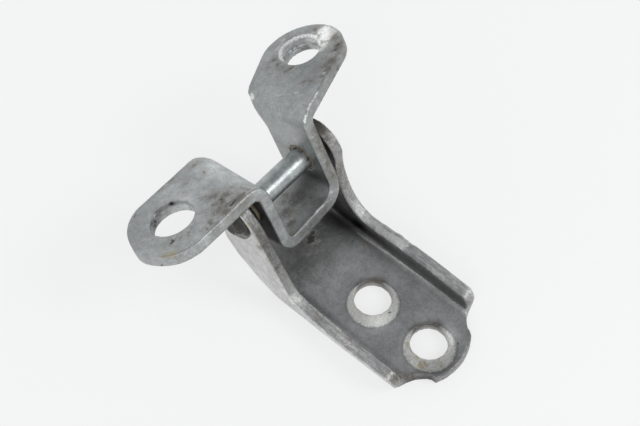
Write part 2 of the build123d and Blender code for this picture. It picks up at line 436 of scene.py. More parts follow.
class Effects:
    """The wear effects that the hinge's finishes share, each a shader node group."""

    def __init__(self) -> None:
        """Builds the groups once."""
        self.stain = self.build_stain()
        self.mottle = self.build_mottle()
        self.scuff = self.build_scuff()
        self.grain = self.build_grain()

    def build_stain(self) -> bpy.types.NodeTree:
        """Breaks a soft placed mask up into ragged specks.

        Returns:
            The group.
        """
        sheet, given, result = shader_group(
            "ragged_stain",
            [("Vector", "Vector", None), ("Mask", "Float", 0.0), ("Scale", "Float", 900.0),
             ("Edge", "Float", 0.25)],
            [("Mask", "Float")],
        )
        middle = 0.55
        fine = sheet.noise(given["Vector"], given["Scale"], 5.0, 0.62)
        coarse = sheet.noise(given["Vector"], sheet.times(given["Scale"], 0.33), 2.0)
        both = sheet.math("ADD", sheet.times(fine, 0.6), sheet.times(coarse, 0.4))
        spread = sheet.times(sheet.math("SUBTRACT", both, 0.5), 2.2)
        lifted = sheet.math("ADD", given["Mask"], spread)
        low = sheet.math("SUBTRACT", middle, given["Edge"])
        high = sheet.math("ADD", middle, given["Edge"])
        held = sheet.times(sheet.ramp(lifted, low, high), sheet.ramp(given["Mask"], 0.02, 0.2))
        sheet.feed(result["Mask"], held)
        return sheet.tree

    def build_mottle(self) -> bpy.types.NodeTree:
        """Cloudy tone of an old coating, between two colours, with small darker freckles.

        Returns:
            The group.
        """
        sheet, given, result = shader_group(
            "mottled_coat",
            [("Vector", "Vector", None), ("Dark", "Color", (0, 0, 0, 1)), ("Light", "Color", (1, 1, 1, 1)),
             ("Scale", "Float", 60.0), ("Freckles", "Float", 0.3)],
            [("Color", "Color"), ("Value", "Float")],
        )
        clouds = sheet.noise(given["Vector"], given["Scale"], 3.0, 0.6)
        patches = sheet.noise(given["Vector"], sheet.times(given["Scale"], 5.5), 4.0, 0.6)
        both = sheet.math("ADD", sheet.times(clouds, 0.5), sheet.times(patches, 0.5))
        tone = sheet.ramp(both, 0.36, 0.64)
        base = sheet.mix(tone, given["Dark"], given["Light"])
        fine = sheet.noise(given["Vector"], sheet.times(given["Scale"], 20.0), 3.0, 0.6)
        shade = sheet.times(sheet.math("SUBTRACT", fine, 0.5), given["Freckles"])
        grained = sheet.math("ADD", 1.0, sheet.times(shade, 1.6))
        veined = sheet.node("ShaderNodeHueSaturation", inputs={"Color": base, "Value": grained}).outputs[0]
        freckle = sheet.times(sheet.ramp(fine, 0.6, 0.72), given["Freckles"])
        dark = sheet.node("ShaderNodeHueSaturation",
                          inputs={"Color": veined, "Value": 0.5, "Saturation": 1.5}).outputs[0]
        sheet.feed(result["Color"], sheet.mix(freckle, veined, dark))
        sheet.feed(result["Value"], tone)
        return sheet.tree

    def build_scuff(self) -> bpy.types.NodeTree:
        """Patchy wear of a rim: where the coat is rubbed through and where dirt has held.

        Returns:
            The group.
        """
        sheet, given, result = shader_group(
            "scuffed_rim",
            [("Vector", "Vector", None), ("Rim", "Float", 0.0), ("Scale", "Float", 500.0),
             ("Amount", "Float", 0.5)],
            [("Rubbed", "Float"), ("Dirt", "Float")],
        )
        patches = sheet.noise(given["Vector"], given["Scale"], 4.0, 0.65)
        low = sheet.math("SUBTRACT", 0.72, sheet.times(given["Amount"], 0.45))
        rubbed = sheet.ramp(patches, low, sheet.math("ADD", low, 0.16))
        other = sheet.node("ShaderNodeMapping",
                           inputs={"Vector": given["Vector"], "Location": (0.13, 0.07, 0.21)}).outputs[0]
        dirt = sheet.ramp(sheet.noise(other, sheet.times(given["Scale"], 0.45), 4.0, 0.6), 0.5, 0.68)
        sheet.feed(result["Rubbed"], sheet.times(rubbed, given["Rim"]))
        sheet.feed(result["Dirt"], sheet.times(dirt, given["Rim"]))
        return sheet.tree

    def build_grain(self) -> bpy.types.NodeTree:
        """Height of a pressed sheet's fine skin: orange peel, pinholes and faint scratches.

        Returns:
            The group.
        """
        sheet, given, result = shader_group(
            "pressed_skin",
            [("Vector", "Vector", None), ("Scale", "Float", 1500.0), ("Scratch", "Float", 0.4)],
            [("Height", "Float")],
        )
        peel = sheet.noise(given["Vector"], given["Scale"], 3.0, 0.6)
        drawn = {"Vector": given["Vector"], "Rotation": (0.3, 0.2, 0.7), "Scale": (1.0, 0.05, 0.4)}
        stretched = sheet.node("ShaderNodeMapping", inputs=drawn).outputs[0]
        lines = sheet.noise(stretched, sheet.times(given["Scale"], 1.6), 2.0, 0.5)
        cut = sheet.times(sheet.ramp(lines, 0.62, 0.7), given["Scratch"])
        sheet.feed(result["Height"], sheet.math("SUBTRACT", peel, cut))
        return sheet.tree


def place_group(sheet: NodeSheet, group: bpy.types.NodeTree, **values: object) -> bpy.types.NodeOutputs:
    """Puts a shader group into a material.

    Args:
        sheet: The material's nodes.
        group: The group.
        **values: Input values or sockets by the input's name.

    Returns:
        The group's outputs.
    """
    return sheet.node("ShaderNodeGroup", node_tree=group, inputs=values).outputs


def rgba(red: float, green: float, blue: float) -> Colour:
    """A colour with full alpha."""
    return (red, green, blue, 1.0)


def new_material(name: str) -> tuple[bpy.types.Material, NodeSheet, bpy.types.Node]:
    """An empty node material.

    Args:
        name: The material's name.

    Returns:
        The material, its sheet and its Principled BSDF.
    """
    made = bpy.data.materials.new(name)
    made.use_nodes = True
    made.node_tree.nodes.clear()
    sheet = NodeSheet(made.node_tree)
    shader = sheet.node("ShaderNodeBsdfPrincipled")
    output = sheet.node("ShaderNodeOutputMaterial")
    sheet.feed(output.inputs["Surface"], shader.outputs[0])
    return made, sheet, shader


# Scale and edge softness of each layer's ragged grain.
STAIN_GRAIN = {
    Layer.BARE_AND_HIGHLIGHT: (1500.0, 0.42),
    Layer.RUST: (1500.0, 0.55),
    Layer.SOOT: (1500.0, 0.35),
    Layer.OCHRE: (900.0, 0.55),
    Layer.PALE_AND_PAINTED_LIGHT: (1000.0, 0.55),
    Layer.FILM: (1700.0, 0.6),
}


@dataclass(frozen=True)
class CoatedSteel:
    """Old grey coating over pressed steel, with rubbed rims, bare footprints and dirt, painted highlights and
    painted light and shade.
    """

    name: str
    dark: Colour
    light: Colour
    rim: Colour
    bare: Colour = rgba(0.58, 0.58, 0.55)
    worn: Colour = rgba(0.40, 0.40, 0.37)
    soot: Colour = rgba(0.016, 0.014, 0.011)
    rust: Colour = rgba(0.085, 0.066, 0.046)
    stain: Colour = rgba(0.17, 0.14, 0.105)
    ochre: Colour = rgba(0.33, 0.25, 0.10)
    pale: Colour = rgba(0.55, 0.56, 0.54)
    roughness: float = 0.39
    metal: float = 0.92
    rim_wear: float = 0.6
    rim_dirt: float = 0.4
    streak: Place = (1.0, 0.22, 1.0)

    def material(self, effects: Effects) -> bpy.types.Material:
        """Builds the finish.

        Args:
            effects: The shared shader groups.

        Returns:
            The material.
        """
        made, sheet, shader = new_material(self.name)
        where = sheet.node("ShaderNodeTexCoord").outputs["Object"]
        coat = place_group(sheet, effects.mottle, Vector=where, Dark=self.dark, Light=self.light,
                           Scale=62.0, Freckles=0.5)
        rim_mask = sheet.layer(Layer.RIM)
        drawn = sheet.node("ShaderNodeMapping", inputs={"Vector": where, "Scale": self.streak}).outputs[0]
        scuff = place_group(sheet, effects.scuff, Vector=drawn, Rim=rim_mask, Scale=1300.0,
                            Amount=self.rim_wear)
        held = {}
        for layer, (scale, edge) in STAIN_GRAIN.items():
            held[layer] = place_group(sheet, effects.stain, Vector=where, Mask=sheet.layer(layer),
                                      Scale=scale, Edge=edge)["Mask"]
        dirt = sheet.times(scuff["Dirt"], self.rim_dirt)
        speckle = sheet.ramp(sheet.noise(where, 1500.0, 4.0, 0.7), 0.25, 0.7)
        colour = coat["Color"]
        for mask, tint in (
            (scuff["Rubbed"], self.rim),
            (dirt, self.stain),
            # Paler places, and painted light on the base's outsides.
            (held[Layer.PALE_AND_PAINTED_LIGHT], self.pale),
            # Bare metal, and painted highlights along edges and bends.
            (held[Layer.BARE_AND_HIGHLIGHT], sheet.mix(speckle, self.worn, self.bare)),
            (sheet.times(held[Layer.OCHRE], 0.7), self.ochre),
            (sheet.times(held[Layer.FILM], 0.6), self.stain),
            (sheet.times(held[Layer.RUST], 0.62), self.rust),
            (sheet.times(held[Layer.SOOT], 0.92), self.soot),
        ):
            colour = sheet.mix(mask, colour, tint)
        # The tone layer's painted light and shade, with some wear, scales the colour's value.
        gain = sheet.times(sheet.layer(Layer.SHADE_LIGHT_AND_WEAR), 2.0)
        toned = sheet.node("ShaderNodeHueSaturation", inputs={"Color": colour, "Value": gain})
        sheet.feed(shader.inputs["Base Color"], toned.outputs[0])
        grime = sheet.math("MAXIMUM", sheet.math("MAXIMUM", held[Layer.RUST], held[Layer.SOOT]), dirt)
        rough = sheet.math("MULTIPLY_ADD", coat["Value"], 0.08, self.roughness)
        rough = sheet.math("ADD", rough, sheet.times(grime, 0.3), clamp=True)
        sheet.feed(shader.inputs["Roughness"], rough)
        metallic = sheet.math("SUBTRACT", self.metal, sheet.times(grime, 0.7))
        metallic = sheet.math("SUBTRACT", metallic, sheet.times(held[Layer.BARE_AND_HIGHLIGHT], 0.55), clamp=True)
        sheet.feed(shader.inputs["Metallic"], metallic)
        height = place_group(sheet, effects.grain, Vector=where, Scale=1400.0, Scratch=0.35)["Height"]
        for lumps, share in (
            (sheet.times(grime, sheet.noise(where, 2400.0, 3.0, 0.7)), 1.4),
            (speckle, 0.3),
            (sheet.times(sheet.noise(drawn, 1100.0, 4.0, 0.65), rim_mask), 1.5),
        ):
            height = sheet.math("ADD", height, sheet.times(lumps, share))
        sheet.feed(shader.inputs["Normal"], sheet.bump(height, 0.55, 0.0001))
        return made


@dataclass(frozen=True)
class TurnedMetal:
    """Turned metal with fine tool rings round the pin's axis, and grease where it is soiled."""

    name: str
    dark: Colour
    light: Colour
    grease: Colour
    roughness: float
    # Olive of grime, also used as painted light on the pin head's lower edge.
    olive: Colour = rgba(0.21, 0.19, 0.14)
    metal: float = 0.95
    sheen_level: float = 0.3

    def material(self, effects: Effects) -> bpy.types.Material:
        """Builds the finish.

        Args:
            effects: The shared shader groups.

        Returns:
            The material.
        """
        made, sheet, shader = new_material(self.name)
        where = sheet.node("ShaderNodeTexCoord").outputs["Object"]
        colour = place_group(sheet, effects.mottle, Vector=where, Dark=self.dark, Light=self.light,
                             Scale=150.0, Freckles=0.25)["Color"]
        soot = place_group(sheet, effects.stain, Vector=where, Mask=sheet.layer(Layer.SOOT),
                           Scale=900.0, Edge=0.3)["Mask"]
        ochre = place_group(sheet, effects.stain, Vector=where, Mask=sheet.layer(Layer.OCHRE),
                            Scale=1200.0, Edge=0.3)["Mask"]
        colour = sheet.mix(sheet.times(soot, 0.92), colour, self.grease)
        colour = sheet.mix(sheet.times(ochre, 0.8), colour, self.olive)
        sheet.feed(shader.inputs["Base Color"], colour)
        sheet.feed(shader.inputs["Roughness"], sheet.math("ADD", self.roughness, sheet.times(soot, 0.3)))
        dull = sheet.times(sheet.math("MAXIMUM", soot, ochre), 0.7)
        sheet.feed(shader.inputs["Metallic"], sheet.math("SUBTRACT", self.metal, dull))
        shader.inputs["Specular IOR Level"].default_value = self.sheen_level
        along = sheet.node("ShaderNodeSeparateXYZ", inputs={"Vector": where}).outputs[0]
        only = sheet.node("ShaderNodeCombineXYZ", inputs={"X": along}).outputs[0]
        skin = place_group(sheet, effects.grain, Vector=where, Scale=1500.0, Scratch=0.2)["Height"]
        height = sheet.math("ADD", sheet.noise(only, 4200.0, 4.0, 0.7), sheet.times(skin, 0.6))
        sheet.feed(shader.inputs["Normal"], sheet.bump(height, 0.4, 0.00004))
        return made


@dataclass(frozen=True)
class RustScale:
    """Dull brown-black crumbs of rust and dried dirt."""

    name: str = "rust_scale"
    dark: Colour = rgba(0.03, 0.025, 0.018)
    light: Colour = rgba(0.11, 0.085, 0.055)
    roughness: float = 0.7
    sheen_level: float = 0.15

    def material(self, effects: Effects) -> bpy.types.Material:
        """Builds the finish from the shared mottle and skin.

        Args:
            effects: The shared shader groups.

        Returns:
            The material.
        """
        made, sheet, shader = new_material(self.name)
        where = sheet.node("ShaderNodeTexCoord").outputs["Object"]
        coat = place_group(sheet, effects.mottle, Vector=where, Dark=self.dark, Light=self.light,
                           Scale=700.0, Freckles=0.5)
        sheet.feed(shader.inputs["Base Color"], coat["Color"])
        rough = sheet.math("MULTIPLY_ADD", coat["Value"], 0.2, self.roughness)
        sheet.feed(shader.inputs["Roughness"], rough)
        shader.inputs["Specular IOR Level"].default_value = self.sheen_level
        skin = place_group(sheet, effects.grain, Vector=where, Scale=4000.0, Scratch=0.0)["Height"]
        sheet.feed(shader.inputs["Normal"], sheet.bump(skin, 0.6, 0.00005))
        return made


def mesh_arrays(mesh: bpy.types.Mesh) -> tuple[np.ndarray, np.ndarray]:
    """Vertex places and vertex normals of a mesh.

    Args:
        mesh: The mesh.

    Returns:
        Its places and its normals, one to a row.
    """
    places = np.empty(len(mesh.vertices) * 3, np.float32)
    mesh.vertices.foreach_get("co", places)
    normals = np.empty(len(mesh.vertices) * 3, np.float32)
    mesh.vertex_normals.foreach_get("vector", normals)
    return places.reshape(-1, 3).astype(float), normals.reshape(-1, 3).astype(float)


def store_layer(mesh: bpy.types.Mesh, which: Layer, values: np.ndarray) -> None:
    """Writes one wear layer onto a mesh's points."""
    made = mesh.attributes.new(which.value, "FLOAT", "POINT")
    made.data.foreach_set("value", np.clip(values, 0.0, 1.0).astype(np.float32))


def mark_reach(points: np.ndarray, mark: Mark) -> np.ndarray:
    """Distance of each point from a mark's middle or line.

    Args:
        points: Places in row-frame millimetres.
        mark: The mark.

    Returns:
        Distances in the mark's radii.
    """
    away = points - np.array(mark.place)
    if mark.end is not None:
        run = np.array(mark.end) - np.array(mark.place)
        share = np.clip(away @ run / (run @ run), 0.0, 1.0)
        away = away - share[:, None] * run
    return np.linalg.norm(away, axis=1) / mark.radius


def warped(points: np.ndarray, size: float = 2.2, reach: float = 1.3) -> np.ndarray:
    """Places shifted by smooth noise, so that round marks over them turn out ragged."""
    shift = [cloud(points, size, seed) for seed in (71, 75, 79)]
    return points + reach * np.column_stack(shift)


def mark_layer(points: np.ndarray, marks: Sequence[Mark]) -> np.ndarray:
    """Soft mask of a list of marks over a set of points.

    Args:
        points: Places in row-frame millimetres.
        marks: The marks, of which the strongest counts at each place.

    Returns:
        One value a point.
    """
    total = np.zeros(len(points))
    for mark in marks:
        spread = 1.0 - smoothstep(0.3, 1.15, mark_reach(points, mark))
        total = np.maximum(total, mark.strength * spread)
    return total


def shade_light_and_wear_layer(points: np.ndarray, marks: Sequence[Mark]) -> np.ndarray:
    """Painted light and shade of a surface, with some wear: 0.5 where it is plain, lighter or darker round
    each mark.

    Args:
        points: Places in row-frame millimetres.
        marks: The marks, which add up.

    Returns:
        One value a point.
    """
    total = np.full(len(points), 0.5)
    for mark in marks:
        total += mark.strength * np.exp(-(mark_reach(points, mark) ** 2))
    return total


def outward(mesh: bpy.types.Mesh) -> None:
    """Merges a closed mesh's doubles and points its faces outwards.

    Args:
        mesh: The mesh, in millimetres.
    """
    shape = bmesh.new()
    shape.from_mesh(mesh)
    bmesh.ops.remove_doubles(shape, verts=shape.verts, dist=1e-4)
    bmesh.ops.recalc_face_normals(shape, faces=shape.faces)
    shape.to_mesh(mesh)
    shape.free()
    mesh.update()


def voxel_skin(node: bpy.types.Object, to_own: Matrix, voxel: float, steps: int) -> bpy.types.Mesh:
    """Even, slightly rounded skin of a CAD node, in millimetres of the piece's own frame.

    Args:
        node: The CAD node, which isn't changed.
        to_own: Turns row-frame millimetres into the frame that the voxels line up with.
        voxel: Size of the voxels, in millimetres.
        steps: How many smoothing steps round the sheared edges.

    Returns:
        A new mesh.
    """
    copy = bpy.data.objects.new("skin_source", node.data.copy())
    bpy.context.scene.collection.objects.link(copy)
    copy.data.transform(to_own @ Matrix.Scale(PER_METRE, 4))
    copy.data.materials.clear()
    weld = copy.modifiers.new("weld", "WELD")
    weld.merge_threshold = 0.001
    grid = copy.modifiers.new("voxels", "REMESH")
    grid.mode = "VOXEL"
    grid.voxel_size = voxel
    grid.use_smooth_shade = True
    smooth = copy.modifiers.new("smooth", "SMOOTH")
    smooth.factor = 0.5
    smooth.iterations = steps
    made = bpy.data.meshes.new_from_object(copy.evaluated_get(bpy.context.evaluated_depsgraph_get()))
    old = copy.data
    bpy.data.objects.remove(copy)
    bpy.data.meshes.remove(old)
    return made


def finish_piece(name: str, mesh: bpy.types.Mesh, points: np.ndarray,
                 material: bpy.types.Material | None, body: Body) -> bpy.types.Object:
    """Makes an object of a mesh, and tells the frame what it is.

    Args:
        name: The piece's name.
        mesh: Its mesh.
        points: Where its points lie, in row-frame millimetres.
        material: Its finish, or None for the plain default.
        body: The body that it rides on.

    Returns:
        The object, with its mesh in metres.
    """
    mesh.name = name
    mesh.vertices.foreach_set("co", (points * MM).astype(np.float32).ravel())
    mesh.materials.clear()
    mesh.materials.append(material)
    mesh.polygons.foreach_set("use_smooth", [True] * len(mesh.polygons))
    piece = bpy.data.objects.new(name, mesh)
    bpy.context.scene.collection.objects.link(piece)
    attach(piece, body.value)
    return piece


def keep_inside(points: np.ndarray, node: str) -> np.ndarray:
    """Row-frame millimetres held within a CAD node's box."""
    low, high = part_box(node)
    return np.clip(points, np.array(low) * PER_METRE, np.array(high) * PER_METRE)


def path_distance(points: np.ndarray, path: np.ndarray) -> tuple[np.ndarray, np.ndarray]:
    """Distance from a bent sheet's middle line, in its section.

    Args:
        points: Section places, two to a row.
        path: The middle line's places, two to a row.

    Returns:
        Distance from the line and the unit direction away from it.
    """
    best = np.full(len(points), 1e9)
    near = np.zeros_like(points)
    for start, end in zip(path[:-1], path[1:]):
        run = end - start
        share = np.clip(((points - start) @ run) / max(run @ run, 1e-12), 0.0, 1.0)
        place = start + share[:, None] * run
        away = np.linalg.norm(points - place, axis=1)
        closer = away < best
        best = np.where(closer, away, best)
        near = np.where(closer[:, None], place, near)
    return best, (points - near) / np.maximum(best, 1e-9)[:, None]


def rounded_path(corners: Sequence[tuple[float, float]], radii: Sequence[float]) -> np.ndarray:
    """A polyline with each inner corner turned into an arc of short runs.

    Args:
        corners: The line's corners.
        radii: Radius of each inner corner's arc.

    Returns:
        The line's places.
    """
    runs = 12
    points = [np.array(c, float) for c in corners]
    line = [points[0]]
    for index, radius in enumerate(radii, start=1):
        back = points[index - 1] - points[index]
        ahead = points[index + 1] - points[index]
        back = back / np.linalg.norm(back)
        ahead = ahead / np.linalg.norm(ahead)
        half = math.acos(max(-1.0, min(1.0, float(back @ ahead)))) / 2.0
        reach = radius / math.tan(half)
        middle = points[index] + (back + ahead) / np.linalg.norm(back + ahead) * (radius / math.sin(half))
        start = points[index] + back * reach - middle
        end = points[index] + ahead * reach - middle
        first = math.atan2(start[1], start[0])
        turn = (math.atan2(end[1], end[0]) - first + math.pi) % (2.0 * math.pi) - math.pi
        for step in range(runs + 1):
            angle = first + turn * step / runs
            line.append(middle + radius * np.array([math.cos(angle), math.sin(angle)]))
    line.append(points[-1])
    return np.array(line)


def base_wear() -> WearPlan:
    """Where the base bracket is stained, specked and rubbed bare, and where highlights, light and shade are
    painted on.

    Returns:
        The marks of each layer.
    """
    return {
        Layer.RUST: (
            *on_web(
                (-14.5, -14.1, 1.5, 0.8), (-13.6, -15.8, 1.0, 0.7), (-15.6, -16.4, 1.2, 0.6),
                (2.2, 19.2, 0.8, 0.45), (1.8, 19.0, 0.7, 0.6, 6.4, 14.6),
                (1.6, -5.2, 0.7, 0.6, 6.6, -9.6), (-8.4, -16.6, 0.6, 0.9), (-7.4, -14.9, 0.5, 0.8),
                (-6.6, -17.2, 0.55, 0.8), (2.5, 40.0, 2.0, 0.45), (-2.0, 38.5, 2.0, 0.4),
            ),
            *in_row(
                (-18.3, -13.4, 8.4, 1.8, 0.6), (18.9, 51.2, 44.9, 3.4, 0.85),
                (17.2, 47.6, 43.7, 2.2, 0.75), (19.8, 49.0, 44.4, 1.8, 0.5),
                (-20.4, 41.0, 32.2, 1.7, 0.85), (-19.4, 43.5, 36.5, 1.3, 0.7, -18.8, 40.5, 31.0),
                (-19.9, 38.7, 27.8, 1.2, 0.6), (18.4, 42.5, 31.0, 1.5, 0.5, 17.4, 41.0, 24.0),
            ),
        ),
        Layer.SOOT: (
            *on_web(
                (2.3, 41.6, 1.4, 1.0, 5.5, 43.4), (9.0, 42.0, 1.3, 1.0), (0.6, 39.6, 0.8, 0.9),
                (9.4, 43.3, 0.6, 0.9), (7.9, 41.6, 0.5, 0.7), (10.5, 36.1, 0.5, 0.8),
                (8.7, 34.1, 0.55, 0.9), (11.4, 31.1, 0.5, 0.9), (1.6, 35.8, 0.6, 0.7),
                (-5.9, 36.8, 0.5, 0.6), (5.2, -19.4, 0.8, 0.9), (6.0, -18.6, 0.5, 0.7),
                (-6.1, -10.0, 0.4, 0.8), (-0.4, 4.4, 0.5, 0.9),
            ),
            *in_row(
                (-16.9, 29.0, 9.4, 0.7, 0.7, -17.0, 24.0, 8.6), (16.4, 24.0, 11.2, 0.5, 0.6),
                (18.6, 15.5, 10.4, 0.5, 0.8), (-19.6, 36.5, 22.5, 0.7, 0.7),
            ),
        ),
        Layer.OCHRE: (
            *on_web(
                (-7.9, -15.7, 1.9, 0.8), (-7.5, -12.4, 1.5, 0.75), (-3.9, -19.8, 1.9, 0.6),
                (-5.7, -7.5, 1.3, 0.5), (-3.2, -6.2, 1.0, 0.5), (-1.8, 18.2, 1.1, 0.5),
                (14.0, 26.0, 2.6, 0.35),
            ),
            *in_row(
                (0.8, 18.2, 3.4, 1.3, 0.5, 6.4, 13.4, 3.4), (0.2, -5.8, 3.4, 1.3, 0.6, 6.4, -10.4, 3.4),
                (-20.6, 46.0, 40.0, 1.5, 0.6),
            ),
        ),
        # The first streak is painted light on the left ear's outside; the others are paler places on the
        # right flange and the right ear.
        Layer.PALE_AND_PAINTED_LIGHT: (
            *in_row(
                (-18.4, 34.5, 19.5, 3.2, 0.6, -18.8, 29.0, 11.5), (18.4, 35.0, 14.5, 2.4, 0.5),
                (18.2, 31.0, 11.4, 2.2, 0.75, 18.0, 16.0, 10.6),
                (19.4, 45.8, 42.8, 0.8, 0.9, 16.7, 45.6, 42.5), (20.2, 44.6, 41.4, 1.3, 0.8),
                (17.9, 4.0, 10.2, 0.9, 0.7, 17.9, -3.0, 10.1),
            ),
        ),
        # All painted highlights: the right bend line, the tongue's edge, the left flange's rim and a glint on
        # the left ear.
        Layer.BARE_AND_HIGHLIGHT: (
            *in_row(
                (14.9, 31.5, 4.25, 0.34, 0.95, 15.6, 18.0, 4.55),
                (15.6, 18.0, 4.55, 0.34, 0.95, 16.0, -1.3, 5.0),
                (16.0, -1.3, 5.0, 0.34, 0.95, 16.1, -16.5, 5.2),
                (6.9, -22.1, SHEET, 0.38, 0.7, 2.4, -23.7, SHEET),
                (2.4, -23.7, SHEET, 0.38, 0.6, -2.6, -23.7, SHEET),
                (-16.9, 27.4, 9.9, 0.75, 0.6, -17.2, 19.9, 8.6),
                (-17.2, 19.9, 8.6, 0.75, 0.6, -17.6, 10.8, 8.5),
                (-19.4, 16.0, 9.2, 1.2, 0.5, -19.6, 2.0, 9.0), (-20.1, 47.4, 41.4, 0.55, 0.95),
            ),
        ),
        # Painted shade in the pocket between the tray and the right ear, down the right flange's inside and
        # in the left bend's crease; painted light on the left flange's outside; the rest lighter or darker
        # places of wear and dirt.
        Layer.SHADE_LIGHT_AND_WEAR: (
            *in_row(
                (16.5, 43.0, 7.0, 6.5, -0.24, 16.4, 35.0, 5.5), (15.4, 38.6, 5.0, 5.0, -0.12),
                (16.4, 33.0, 7.0, 5.0, -0.1, 16.4, 24.0, 7.0), (14.0, 38.0, SHEET, 4.5, -0.07),
                (16.3, 46.0, 13.0, 8.0, -0.2), (16.6, 32.0, 7.4, 2.6, -0.25, 16.8, -14.0, 7.4),
                (19.0, 48.0, 38.0, 9.0, -0.11), (2.0, 13.0, SHEET, 12.0, -0.02),
                (-5.5, 4.4, SHEET, 4.5, 0.3), (-5.0, -20.0, SHEET, 3.5, -0.1),
                (6.0, -16.4, SHEET, 3.2, 0.3), (-20.5, 10.0, 5.0, 6.0, 0.26, -20.5, -8.0, 5.0),
                (-18.4, -13.8, 8.0, 2.4, -0.22), (3.0, 31.0, SHEET, 9.0, 0.19, -8.0, 31.0, SHEET),
                (-14.6, 30.0, SHEET, 1.2, -0.2, -14.9, -12.0, SHEET),
                (0.6, 18.4, 3.2, 1.7, -0.3, 6.5, 13.4, 3.2),
                (0.2, -5.6, 3.2, 1.7, -0.34, 6.5, -10.6, 3.2),
                (10.0, -20.0, SHEET, 3.4, -0.13, -4.0, -24.0, SHEET),
                (-14.0, -15.8, 1.8, 2.6, -0.4, -9.0, -19.6, 1.8),
            ),
        ),
    }


